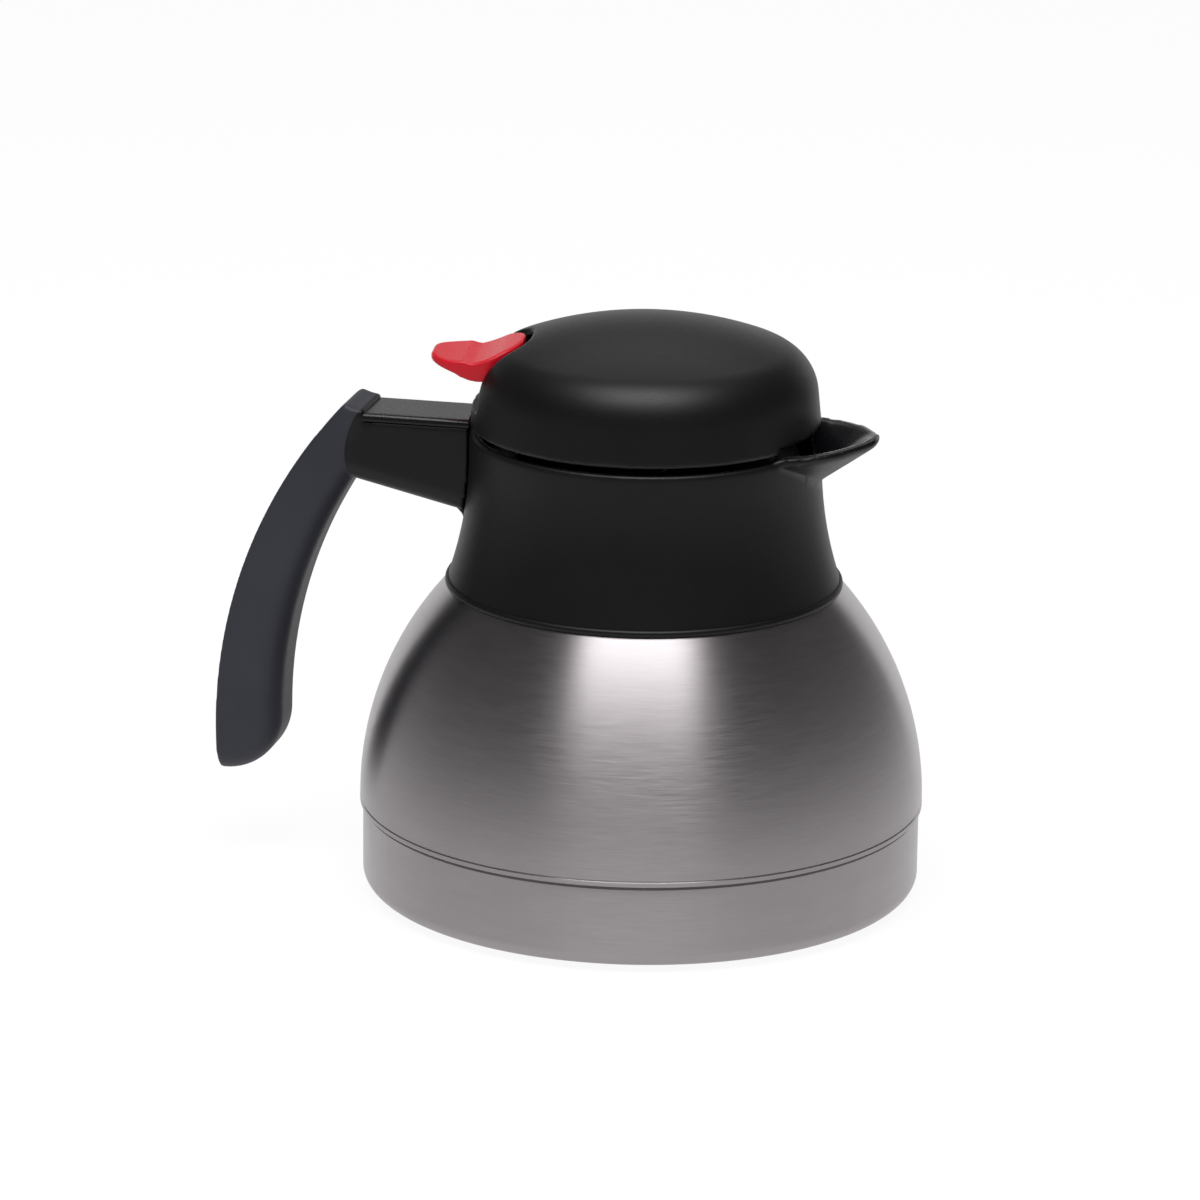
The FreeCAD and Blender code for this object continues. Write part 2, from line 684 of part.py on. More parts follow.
def grip_blank():
    """Grip with its outline from the side, before its edges are rounded."""
    peak = on_back(arm_top + THUMB_RISE)
    stop_foot = behind(cover_end(), arm_top)
    corner = grip_corner()
    throat = behind(max(-corner.x, -stop_foot.x) + THROAT_BOW / 2, (arm_top + corner.z) / 2)
    tail_radius = GRIP_TAIL + GRIP_FRONT_LIFT
    front_low = behind(grip_front, front_centre.z)
    heel = on_back(grip_waist - GRIP_TAIL + HEEL_LIFT)
    profile = face(
        peak,
        stop_foot,
        (throat, corner),
        (on_front((corner.z + front_low.z) / 2), front_low),
        (tail_middle(tail_radius), heel),
        (on_back((heel.z + peak.z) / 2), peak))
    return prism(profile, GRIP_HALF_WIDTH)


def tail_middle(radius):
    """Middle of the round at the grip's lower end."""
    half = math.sqrt(0.5) * radius
    return behind(grip_front + radius - half, front_centre.z - half)


def grip_solid():
    grip = grip_blank()
    corner = grip_corner()
    tail_radius = GRIP_TAIL + GRIP_FRONT_LIFT
    tail = tail_middle(tail_radius)

    def on_finger_side(point):
        if abs(abs(point.y) - GRIP_HALF_WIDTH) > FIT or point.z > corner.z:
            return False
        front_gap = math.hypot(point.x + front_centre.x, point.z - front_centre.z) - GRIP_FRONT_RADIUS
        tail_gap = math.hypot(point.x - tail.x, point.z - tail.z)
        return abs(front_gap) < FIT or tail_gap < tail_radius / 2

    return grip.makeFillet(GRIP_ROUND, edges_where(grip, on_finger_side))


def arm_solid():
    corner = grip_corner()
    tip = (-corner.x - on_back(arm_top).x) / 2
    inside = rim_inner_radius
    profile = face(
        behind(inside, arm_seat),
        behind(tip, arm_seat),
        behind(tip, arm_underside(tip)),
        behind(inside, arm_underside(inside)))
    arm = prism(profile, ARM_HALF_WIDTH)

    def along(point):
        return abs(abs(point.y) - ARM_HALF_WIDTH) < FIT and inside + FIT < -point.x < tip - FIT

    lower = edges_where(arm, lambda point: along(point) and point.z < arm_seat - FIT)
    arm = arm.makeFillet(ARM_ROUND, lower)
    upper = edges_where(arm, lambda point: along(point) and abs(point.z - arm_seat) < FIT)
    return arm.makeChamfer(COVER_SEAM, upper)


def arm_cover():
    """Cover on top of the arm, from the collar to the thumb stop."""
    plate = block(
        Vector(-cover_end() - THROAT_BOW, -ARM_HALF_WIDTH, arm_seat),
        Vector(-rim_inner_radius, ARM_HALF_WIDTH, arm_top))
    long_edges = edges_where(
        plate, lambda point: abs(abs(point.y) - ARM_HALF_WIDTH) < FIT and abs(point.z - arm_top) < FIT)
    beside_grip = grip_blank().translated(Vector(PARTING_GAP, 0, 0))
    return plate.makeFillet(COVER_ROUND, long_edges).cut([bell(PARTING_GAP), beside_grip])


def grip_band(inset, depth, low, high, half_width):
    """Band that follows the grip's back between two heights and two depths."""
    middle = (low + high) / 2
    profile = face(
        on_back(low, inset),
        (on_back(middle, inset), on_back(high, inset)),
        on_back(high, inset + depth),
        (on_back(middle, inset + depth), on_back(low, inset + depth)))
    return prism(profile, half_width)


def strip_ends():
    return grip_waist - STRIP_FOOT, arm_top - STRIP_TOP_DROP


def handle():
    low, high = strip_ends()
    rebate = grip_band(
        -OVERRUN, OVERRUN + STRIP_THICKNESS + FIT, low - FIT, high + FIT, STRIP_HALF_WIDTH + FIT)
    hollow = grip_band(
        STRIP_THICKNESS, HOLLOW_DEPTH, low + HOLLOW_MARGIN, high - HOLLOW_TOP_MARGIN, HOLLOW_HALF_WIDTH)
    body = fused(arm_solid(), grip_solid())
    tools = [rebate, hollow, bell(PARTING_GAP), gusset(PARTING_GAP), tongue(PARTING_GAP, rim_inner_radius)]
    for seat in screw_places():
        tools.append(cylinder(SCREW_RADIUS + FIT, seat.z, tongue_top, seat))
        tools.append(cylinder(SCREW_HEAD_RADIUS + PARTING_GAP, seat.z - SCREW_SINK - OVERRUN, seat.z, seat))
    return body.cut(tools)


def grip_back_strip():
    low, high = strip_ends()
    return grip_band(0, STRIP_THICKNESS, low, high, STRIP_HALF_WIDTH)


def handle_screws():
    screws = []
    for seat in screw_places():
        head = cylinder(SCREW_HEAD_RADIUS, seat.z - SCREW_HEAD, seat.z, seat)
        shank = cylinder(SCREW_RADIUS, seat.z, seat.z + SCREW_LENGTH, seat)
        screws.append(fused(head, shank))
    return Part.makeCompound(screws)


def lid_points(inset):
    """Points up the lid's surface, or inside it: wall's foot and top, shoulder, crown."""
    shoulder_radius = LID_SHOULDER_RADIUS - inset
    crown_radius = LID_CROWN_RADIUS - inset
    return (
        at(lid_radius - inset / math.cos(lid_lean), lid_base),
        polar(shoulder_centre, shoulder_radius, lid_lean),
        polar(shoulder_centre, shoulder_radius, (lid_lean + crown_turn) / 2),
        polar(shoulder_centre, shoulder_radius, crown_turn),
        polar(crown_centre, crown_radius, (crown_turn + math.pi / 2) / 2),
        at(0, crown_centre.z + crown_radius))


def lid_solid(inset):
    """Everything under the lid's surface, or under a surface inside it."""
    foot, top, shoulder, shoulder_end, crown, apex = lid_points(inset)
    return revolved(at(0, lid_base), foot, top, (shoulder, shoulder_end), (crown, apex))


def on_lid(reach, inset):
    """Point behind the axis on the lid's shoulder or crown, or inside it."""
    if reach < lid_points(inset)[3].x:
        return behind(reach, crown_centre.z + math.sqrt((LID_CROWN_RADIUS - inset) ** 2 - reach ** 2))
    shoulder_radius = LID_SHOULDER_RADIUS - inset
    rise = math.sqrt(shoulder_radius ** 2 - (reach - shoulder_centre.x) ** 2)
    return behind(reach, shoulder_centre.z + rise)


def lever_plan(offset, tip):
    """Outline of the lever from above, grown by an offset, with round corners at root and tip."""
    half = LEVER_HALF_WIDTH + offset
    root = lever_root - offset
    root_round = LEVER_ROOT_ROUND + offset
    diagonal = math.sqrt(0.5)

    def on(reach, side):
        return Vector(-reach, side, notch_floor)

    def corner(end, round_radius, way, side):
        """Middle of a round corner."""
        bow = round_radius * (1 - diagonal)
        return on(end + way * bow, side * (half - bow))

    return face(
        on(root, root_round - half),
        on(root, half - root_round),
        (corner(root, root_round, 1, 1), on(root + root_round, half)),
        on(tip - LEVER_TIP_ROUND, half),
        (corner(tip, LEVER_TIP_ROUND, -1, 1), on(tip, half - LEVER_TIP_ROUND)),
        on(tip, LEVER_TIP_ROUND - half),
        (corner(tip, LEVER_TIP_ROUND, -1, -1), on(tip - LEVER_TIP_ROUND, -half)),
        on(root + root_round, -half),
        (corner(root, root_round, 1, -1), on(root, root_round - half)))


def lever_column(offset, tip):
    """Upright column with the lever's outline, from the slot's floor past the lid's top."""
    return lever_plan(offset, tip).extrude(UP * (lid_top + OVERRUN - notch_floor))


def lid_dome():
    skin = lid_solid(0).cut(lid_solid(LID_WALL))
    wall_middle = lid_radius - LID_WALL / 2
    inner_wall = lid_radius - LID_WALL
    ledge_bottom = deck_top + FIT
    ledge_top = ledge_bottom + LID_LEDGE
    ledge = ring(inner_wall - LID_LEDGE_WIDTH, wall_middle - LID_DRAFT / 2, ledge_bottom, ledge_top)
    bead_top = deck_bottom - FIT
    bead = ring(deck_radius - LID_BEAD_LAP, wall_middle, bead_top - LID_BEAD, bead_top)
    bevel = revolved(
        at(lid_radius - LID_EDGE, lid_base),
        at(lid_radius + LID_EDGE, lid_base - LID_EDGE),
        at(lid_radius + LID_EDGE, lid_base + LID_EDGE))
    notch = lever_column(NOTCH_GAP, lid_radius + OVERRUN + LEVER_TIP_ROUND)
    recess = block(
        Vector(0, -POUR_HALF_WIDTH, lid_base - OVERRUN),
        Vector(lid_radius + OVERRUN, POUR_HALF_WIDTH, lid_base + POUR_RECESS))
    dome = fused(skin, ledge, bead).cut([notch, bevel, recess])
    slot_edges = [edge for edge in upper_rims(dome) if edge.BoundBox.ZMin > pad_underside]
    return dome.makeFillet(NOTCH_EDGE, slot_edges)


def stopper_gasket():
    return ring(
        plug_radius + SOFT_GAP, stopper_flange_radius - SOFT_GAP, gutter, stopper_flange_bottom)


def ear():
    foot = deck_top - DECK / 2
    profile = face(
        behind(PIVOT_REACH - EAR_RADIUS, foot),
        behind(PIVOT_REACH - EAR_RADIUS, pivot_height),
        (behind(PIVOT_REACH, pivot_height + EAR_RADIUS), behind(PIVOT_REACH + EAR_RADIUS, pivot_height)),
        behind(PIVOT_REACH + EAR_RADIUS, foot))
    return profile.translated(ACROSS * ear_inner).extrude(ACROSS * EAR_THICKNESS)


def pin_hole(radius, half_length):
    start = behind(PIVOT_REACH, pivot_height) - ACROSS * half_length
    return Part.makeCylinder(radius, 2 * half_length, start, ACROSS)


def stopper_body():
    bore = STEM_RADIUS + RUNNING_FIT
    body = revolved(
        at(plug_radius, plug_bottom),
        at(plug_radius, stopper_flange_bottom),
        at(stopper_flange_radius, stopper_flange_bottom),
        at(stopper_flange_radius, stopper_flange_top),
        at(plug_radius, stopper_flange_top),
        at(plug_radius, deck_bottom),
        at(deck_radius, deck_bottom),
        at(deck_radius, deck_top),
        at(GUIDE_RADIUS, deck_top),
        at(GUIDE_RADIUS, deck_top + GUIDE_RISE),
        at(bore, deck_top + GUIDE_RISE),
        at(bore, deck_bottom - GUIDE_DROP),
        at(GUIDE_RADIUS, deck_bottom - GUIDE_DROP),
        at(GUIDE_RADIUS, deck_bottom),
        at(chamber_radius, deck_bottom),
        at(chamber_radius, plug_bottom))
    windows = []
    for number in range(WINDOW_COUNT):
        window = block(
            Vector(chamber_radius - OVERRUN, -WINDOW_WIDTH / 2, stopper_flange_top + WINDOW_MARGIN),
            Vector(plug_radius + OVERRUN, WINDOW_WIDTH / 2, deck_bottom - WINDOW_MARGIN))
        windows.append(window.rotated(CENTRE, UP, number * 360 / WINDOW_COUNT))
    body = fused(body.cut(windows), ear(), mirrored(ear()))
    return body.cut(pin_hole(PIN_RADIUS + RUNNING_FIT, ear_outer + OVERRUN))


def lever_pin():
    return pin_hole(PIN_RADIUS, ear_outer)


def valve_seat():
    return revolved(
        at(SEAT_OPENING_RADIUS, plug_bottom - SEAT_PLATE),
        at(plug_radius, plug_bottom - SEAT_PLATE),
        at(plug_radius, plug_bottom),
        at(chamber_radius - FIT, plug_bottom),
        at(chamber_radius - FIT, seat_top),
        at(SEAT_OPENING_RADIUS, seat_top))


def valve_seal():
    return ring(STEM_RADIUS + RUNNING_FIT, seal_radius, seat_top, seal_top)


def valve_disc():
    edge = seal_radius + DISC_MARGIN
    return revolved(
        at(STEM_RADIUS + RUNNING_FIT, seal_top),
        at(edge, seal_top),
        at(edge, disc_top),
        at(GUIDE_RADIUS, disc_top),
        at(GUIDE_RADIUS, disc_top + HUB_HEIGHT),
        at(STEM_RADIUS + RUNNING_FIT, disc_top + HUB_HEIGHT))


def valve_stem():
    return revolved(
        at(0, seat_top - STEM_FOOT),
        at(STEM_FOOT_RADIUS, seat_top - STEM_FOOT),
        at(STEM_FOOT_RADIUS, seat_top),
        at(STEM_RADIUS, seat_top),
        at(STEM_RADIUS, cap_top - CAP_ROOF),
        at(0, cap_top - CAP_ROOF))


def stem_cap():
    bore = STEM_RADIUS + RUNNING_FIT
    return revolved(
        at(bore, cap_bottom),
        at(CAP_RADIUS, cap_bottom),
        at(CAP_RADIUS, cap_top),
        at(0, cap_top),
        at(0, cap_top - CAP_ROOF),
        at(bore, cap_top - CAP_ROOF))


def valve_spring():
    bottom = disc_top + SPRING_WIRE + SPRING_SEAT_GAP
    top = deck_bottom - SPRING_WIRE - SPRING_SEAT_GAP
    climb = (top - bottom) / (2 * math.pi * SPRING_TURNS)

    def on(angle):
        height = bottom + climb * angle
        return Vector(SPRING_RADIUS * math.cos(angle), SPRING_RADIUS * math.sin(angle), height)

    def way(angle):
        direction = Vector(-SPRING_RADIUS * math.sin(angle), SPRING_RADIUS * math.cos(angle), climb)
        return direction.normalize()

    arcs = []
    half_turn = math.pi * (1 - SAME_POINT)
    for step in range(2 * SPRING_TURNS):
        low = step * half_turn
        arcs += biarc(on(low), way(low), on(low + half_turn), way(low + half_turn))
    path = Part.Wire(arcs)
    outward = Vector(1, 0, 0)
    upward = outward.cross(way(0))
    corners = []
    for side in range(SPRING_SIDES + 1):
        angle = 2 * math.pi * side / SPRING_SIDES
        corners.append(on(0) + (outward * math.cos(angle) + upward * math.sin(angle)) * SPRING_WIRE)
    return path.makePipeShell([Part.makePolygon(corners)], True, False)


def lever_cover():
    """Part of the lever that shows: a root that follows the dome, and a dished thumb pad."""
    tip_top = lid_base + PAD_TIP_RISE
    tip_bottom = tip_top - PAD_TIP_THICKNESS
    tip = behind(lever_tip, tip_top)
    wall = lid_radius - PAD_WALL_INSET
    shoulder_end = lid_points(LEVER_FLUSH)[3].x
    pad_root = on_lid(lid_radius - PAD_ROOT_INSET, LEVER_FLUSH)
    outward = pad_root - behind(shoulder_centre.x, shoulder_centre.z)
    down_the_dome = Vector(-outward.z, 0, outward.x).normalize()
    profile = face(
        behind(lever_root, lever_roof),
        behind(lever_heel, lever_roof),
        behind(lever_heel, pad_underside),
        behind(wall, pad_underside),
        (behind((wall + lever_tip) / 2, pad_underside + PAD_BOW_RISE), behind(lever_tip, tip_bottom)),
        tip,
        (tangent_middle(pad_root, down_the_dome, tip), pad_root),
        (on_lid((shoulder_end - pad_root.x) / 2, LEVER_FLUSH), on_lid(shoulder_end, LEVER_FLUSH)),
        (on_lid((shoulder_end + lever_root) / 2, LEVER_FLUSH), on_lid(lever_root, LEVER_FLUSH)))
    cover = prism(profile, LEVER_HALF_WIDTH).common(lever_column(0, lever_tip))
    return cover.makeFillet(LEVER_EDGE, upper_rims(cover))


def lever_arm():
    """Hub on the pin and the fork that lifts the stem's cap."""
    top = nub_top - FORK_STEP
    bottom = top - FORK_THICKNESS
    hub = pin_hole(EAR_RADIUS, HUB_HALF_WIDTH)
    post = block(
        Vector(-lever_heel, -HUB_HALF_WIDTH, pivot_height - PIN_RADIUS),
        Vector(-lever_root, HUB_HALF_WIDTH, lever_roof))
    web = block(
        Vector(-lever_root, -HUB_HALF_WIDTH, pivot_height - PIN_RADIUS),
        Vector(-PIVOT_REACH, HUB_HALF_WIDTH, pivot_height + EAR_RADIUS))
    fork = block(
        Vector(-PIVOT_REACH, -HUB_HALF_WIDTH, bottom),
        Vector(FORK_END, HUB_HALF_WIDTH, top))
    nub_height = nub_top - FORK_NUB_RADIUS
    nub = Part.makeCylinder(
        FORK_NUB_RADIUS, 2 * HUB_HALF_WIDTH, Vector(0, -HUB_HALF_WIDTH, nub_height), ACROSS)
    slot_half = STEM_RADIUS + FORK_GAP
    slot = block(
        Vector(-slot_half, -slot_half, bottom - OVERRUN),
        Vector(FORK_END + OVERRUN, slot_half, cap_top))
    return fused(hub, web, post, fork, nub).cut(slot)


def thumb_lever():
    body = fused(lever_cover(), lever_arm())
    return body.cut(pin_hole(PIN_RADIUS + RUNNING_FIT, LEVER_HALF_WIDTH + OVERRUN))


POT_PIECES = {
    "outer_shell": outer_shell,
    "inner_flask": inner_flask,
    "flask_base": flask_base,
    "vacuum_plug": vacuum_plug,
    "getter_cup": getter_cup,
    "base_cup": base_cup,
    "foot_ring": foot_ring,
    "neck_gasket": neck_gasket,
    "neck_collar": neck_collar,
    "handle": handle,
    "arm_cover": arm_cover,
    "grip_back": grip_back_strip,
    "handle_screws": handle_screws,
    "stopper_gasket": stopper_gasket,
}
LID_PIECES = {
    "stopper_body": stopper_body,
    "lid_dome": lid_dome,
    "valve_seat": valve_seat,
    "lever_pin": lever_pin,
    "valve_spring": valve_spring,
    "thumb_lever": thumb_lever,
    "valve_stem": valve_stem,
    "stem_cap": stem_cap,
    "valve_disc": valve_disc,
    "valve_seal": valve_seal,
}

os.makedirs("parts", exist_ok=True)
for pieces, turn in ((POT_PIECES, 0.0), (LID_PIECES, LID_TURN)):
    for name, make in pieces.items():
        shape = make().rotated(CENTRE, UP, turn)
        shape.exportStep("parts/" + name + ".step")
        state = "valid" if shape.isValid() else "INVALID"
        print(name, len(shape.Solids), state, round(shape.Volume / 1000, 2), "cm3")
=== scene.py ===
import math

import bpy
from mathutils import Matrix, Vector


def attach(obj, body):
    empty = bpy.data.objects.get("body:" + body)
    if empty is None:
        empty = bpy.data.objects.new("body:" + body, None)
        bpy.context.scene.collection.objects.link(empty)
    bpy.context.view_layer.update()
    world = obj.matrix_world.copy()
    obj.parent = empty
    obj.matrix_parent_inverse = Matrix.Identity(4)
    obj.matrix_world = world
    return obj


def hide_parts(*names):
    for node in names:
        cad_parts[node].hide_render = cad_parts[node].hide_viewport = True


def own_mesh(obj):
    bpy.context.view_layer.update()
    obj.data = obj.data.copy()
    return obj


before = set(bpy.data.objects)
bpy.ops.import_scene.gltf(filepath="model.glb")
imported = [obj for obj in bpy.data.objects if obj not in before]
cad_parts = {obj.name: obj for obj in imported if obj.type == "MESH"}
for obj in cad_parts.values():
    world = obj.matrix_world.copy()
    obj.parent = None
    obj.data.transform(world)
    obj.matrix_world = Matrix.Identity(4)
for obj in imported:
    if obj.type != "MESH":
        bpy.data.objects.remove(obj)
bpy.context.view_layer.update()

# Camera as the photograph was taken: a long lens a little above the pot, turned towards the spout.
# Metres; the sensor and lens are in millimetres, the frame and its shifts in pixels.
CAMERA_DISTANCE = 1.6
CAMERA_HEIGHT = 0.075
CAMERA_ELEVATION = math.radians(16.54)
CAMERA_AZIMUTH = math.radians(12.0)
CAMERA_ROLL = math.radians(0.78)
SENSOR_WIDTH = 36.0
LENS = 181.2
FRAME_SIZE = 1200.0
FRAME_SHIFT_X = -43.5
FRAME_SHIFT_Y = 11.4

# Studio: a white floor and surround, a large softbox above the camera and a weak one behind the
# pot. The room on the camera's side is dark, and dark cards stand for it in the reflections.
FLOOR_SIZE = 14.0
FLOOR_GLOW = 0.92
FLOOR_WHITE = "F4F4F4"
SURROUND_FILL = 0.62
SOFTBOX_WIDTH = 0.78
SOFTBOX_DEPTH = 0.6
SOFTBOX_DISTANCE = 1.0
SOFTBOX_ELEVATION = math.radians(70.5)
SOFTBOX_AZIMUTH = math.radians(7.0)
SOFTBOX_POWER = 10.8
BACK_WIDTH = 0.9
BACK_DEPTH = 0.35
BACK_DISTANCE = 1.3
BACK_ELEVATION = math.radians(46.0)
BACK_AZIMUTH = math.radians(190.0)
BACK_POWER = 1.6
LIGHT_AIM = 0.1
CEILING_HEIGHT = 1.5
CEILING_SIZE = 10.0
CEILING_GREY = "4C4C4C"
DARK_SIDE_RADIUS = 2.2
DARK_SIDE_SEGMENTS = 72
DARK_SIDE_SPREAD = math.radians(141.0)
LOW_WALL_HEIGHT = 0.42
LOW_WALL_GREY = "8A8A8A"
HIGH_WALL_GREY = "464646"
DARK_MAT_GREY = "6A6A6A"
DARK_MAT_INNER = 0.5
DARK_MAT_LIFT = 0.002

MM = 0.001
# Points nearer to each other than this are one point.
MERGE = 0.001 * MM

# Moulded pieces: the CAD shape with its edges eased as they leave the tool. A cell is the size of
# the new skin's faces, passes smooth them, and the kept share is what is left after thinning out.
HANDLE_CELL = 0.5 * MM
COLLAR_CELL = 0.6 * MM
LID_CELL = 0.6 * MM
LEVER_CELL = 0.26 * MM
KEPT_SHARE = 0.42
MOULDED_CREASE = math.radians(50.0)
SHEET_CREASE = math.radians(25.0)
HANDLE_PASSES = 8
COLLAR_PASSES = 4
LID_PASSES = 4
LEVER_PASSES = 3
THUMB_STOP_BACK = -72.0 * MM
THUMB_STOP_FOOT = 119.5 * MM
THUMB_STOP_PASSES = 44
SPOUT_REACH = 45.0 * MM
SPOUT_FOOT = 111.0 * MM
SPOUT_PASSES = 34
CHANNEL_START = 37.0 * MM
LIP_START = 49.0 * MM
# Least share of a face's normal that looks to the pot's axis in the channel, or up on the lip.
CHANNEL_FACING = 0.15
LIP_FACING = 0.4
# The grip begins behind a hollow arc at the end of the arm; behind this arc the handle's colour is
# painted lighter, as painted light on the grip.
THROAT_CENTRE_X = -58.4 * MM
THROAT_CENTRE_Z = 115.0 * MM
THROAT_RADIUS = 20.8 * MM
THROAT_BLUR = 0.15 * MM
# Foot of the thumb stop, which laps over the end of the arm's cover.
STOP_FOOT_LOW = Vector((-80.0 * MM, -9.7 * MM, 122.5 * MM))
STOP_FOOT_HIGH = Vector((-74.0 * MM, 9.9 * MM, 127.5 * MM))
# Fine level groove above the rolled hem of the steel dome.
HEM_LEVEL = 25.0 * MM
HEM_GROOVE = 0.6 * MM
HEM_DEPTH = 0.2 * MM
HEM_INSIDE = 74.5 * MM
# Bead round the collar's lower edge, and the level where the collar runs into it.
BEAD_LEVEL = 84.1 * MM
BEAD_JOINT = 85.0 * MM
BEAD_RADIUS = 51.85 * MM
BEAD_WIDTH = 0.75 * MM
BEAD_STRETCH = 1.38
BEAD_SEGMENTS = 240
BEAD_SIDES = 14
# Lever pad: its end stands higher, so that a valley lies before the lid's wall. The lever looks
# the way that the lid is turned.
LID_TURN = math.radians(7.0)
PAD_START = 47.6 * MM
PAD_TOP = 141.0 * MM
PAD_LIFT = 1.1 * MM
PAD_SPREAD = 3.6 * MM
# Base cup: a chamfer under the hem of the dome.
CUP_TOP = 23.1 * MM
CUP_CHAMFER = 0.5 * MM
CUP_INSIDE = 74.0 * MM
# Stopper: four short ribs of a quick thread.
RIB_COUNT = 4
RIB_ARC = math.radians(68.0)
RIB_RISE = 3.2 * MM
RIB_LOW = 102.5 * MM
RIB_INNER = 34.3 * MM
RIB_OUTER = 35.5 * MM
RIB_HEIGHT = 2.2 * MM
RIB_STEPS = 34
RIB_EDGE = 0.35 * MM
# Screws: a cross in each head.
SCREW_HEADS = ((-53.4 * MM, 103.09 * MM), (-60.4 * MM, 104.69 * MM))
CROSS_LENGTH = 3.8 * MM
CROSS_WIDTH = 0.9 * MM
CROSS_DEPTH = 1.3 * MM
CROSS_TAPER = 0.55

# Finishes: the span that a noise pattern mostly fills, and what all the plastics share.
NOISE_LOW = 0.3
NOISE_HIGH = 0.7
PLASTIC_IOR = 1.49
DRIFT_PITCH = 22.0 * MM
GRAIN_DEPTH = 0.1 * MM
# Brushing of the steel: fine scratches, and broader bands among them.
SCRATCH_PITCH = 0.38 * MM
SCRATCH_LENGTH = 9.0 * MM
SCRATCH_DEPTH = 0.05 * MM
BAND_PITCH = 3.0 * MM
BAND_LENGTH = 18.0 * MM


def linear(hex_colour):
    """sRGB hex to the linear colour that shaders take."""
    channels = []
    for start in (0, 2, 4):
        value = int(hex_colour[start:start + 2], 16) / 255.0
        channels.append(value / 12.92 if value <= 0.04045 else ((value + 0.055) / 1.055) ** 2.4)
    return (*channels, 1.0)


def add_node(tree, kind, inputs=None, **settings):
    """One shader node with its settings; an input is a plain value or another node's output."""
    made = tree.nodes.new(kind)
    for name, value in settings.items():
        setattr(made, name, value)
    for socket, value in (inputs or {}).items():
        if isinstance(value, bpy.types.NodeSocket):
            tree.links.new(value, made.inputs[socket])
        else:
            made.inputs[socket].default_value = value
    return made


def new_tree(name):
    """An empty material and its node tree."""
    material = bpy.data.materials.new(name)
    material.use_nodes = True
    material.node_tree.nodes.clear()
    return material, material.node_tree


def close_tree(tree, shader):
    """Ends a material's tree with its shader."""
    add_node(tree, "ShaderNodeOutputMaterial", {"Surface": shader})


def brushed_stainless():
    """Stainless sheet brushed on the lathe: the scratches run round the pot, so each highlight is
    drawn out up and down and breaks into fine level lines."""
    material, tree = new_tree("brushed_stainless")
    place = add_node(tree, "ShaderNodeTexCoord").outputs["Object"]
    parts = add_node(tree, "ShaderNodeSeparateXYZ", {0: place})
    flat = add_node(tree, "ShaderNodeCombineXYZ", {0: parts.outputs[0], 1: parts.outputs[1]})
    reach = add_node(tree, "ShaderNodeVectorMath", {0: flat.outputs[0]}, operation="LENGTH")
    along = add_node(tree, "ShaderNodeMath", {0: parts.outputs[2], 1: reach.outputs["Value"]},
                     operation="SUBTRACT")
    unrolled = add_node(tree, "ShaderNodeCombineXYZ",
                        {0: parts.outputs[0], 1: parts.outputs[1], 2: along.outputs[0]})
    scratch_place = add_node(tree, "ShaderNodeMapping", {
        "Vector": unrolled.outputs[0],
        "Scale": (1.0 / SCRATCH_LENGTH, 1.0 / SCRATCH_LENGTH, 1.0 / SCRATCH_PITCH)})
    scratches = add_node(tree, "ShaderNodeTexNoise", {
        "Vector": scratch_place.outputs[0], "Scale": 1.0, "Detail": 4.0, "Roughness": 0.62})
    band_place = add_node(tree, "ShaderNodeMapping", {
        "Vector": unrolled.outputs[0],
        "Scale": (1.0 / BAND_LENGTH, 1.0 / BAND_LENGTH, 1.0 / BAND_PITCH)})
    bands = add_node(tree, "ShaderNodeTexNoise", {
        "Vector": band_place.outputs[0], "Scale": 1.0, "Detail": 2.0})
    both = add_node(tree, "ShaderNodeMix", {
        "Factor": 0.2, "A": scratches.outputs["Fac"], "B": bands.outputs["Fac"]})
    tint = add_node(tree, "ShaderNodeValToRGB", {"Fac": both.outputs["Result"]})
    tint.color_ramp.elements[0].position = NOISE_LOW
    tint.color_ramp.elements[0].color = linear("9C9799")
    tint.color_ramp.elements[1].position = NOISE_HIGH
    tint.color_ramp.elements[1].color = linear("AAA5A7")
    dullness = add_node(tree, "ShaderNodeMapRange", {
        "Value": scratches.outputs["Fac"], "From Min": NOISE_LOW, "From Max": NOISE_HIGH,
        "To Min": 0.34, "To Max": 0.42})
    relief = add_node(tree, "ShaderNodeBump", {
        "Height": scratches.outputs["Fac"], "Strength": 0.08, "Distance": SCRATCH_DEPTH})
    around = add_node(tree, "ShaderNodeTangent", direction_type="RADIAL", axis="Z")
    steel = add_node(tree, "ShaderNodeBsdfPrincipled", {
        "Base Color": tint.outputs["Color"], "Roughness": dullness.outputs["Result"],
        "Normal": relief.outputs["Normal"], "Tangent": around.outputs["Tangent"],
        "Metallic": 1.0, "Anisotropic": 0.9, "Anisotropic Rotation": 0.25})
    close_tree(tree, steel.outputs["BSDF"])
    return material


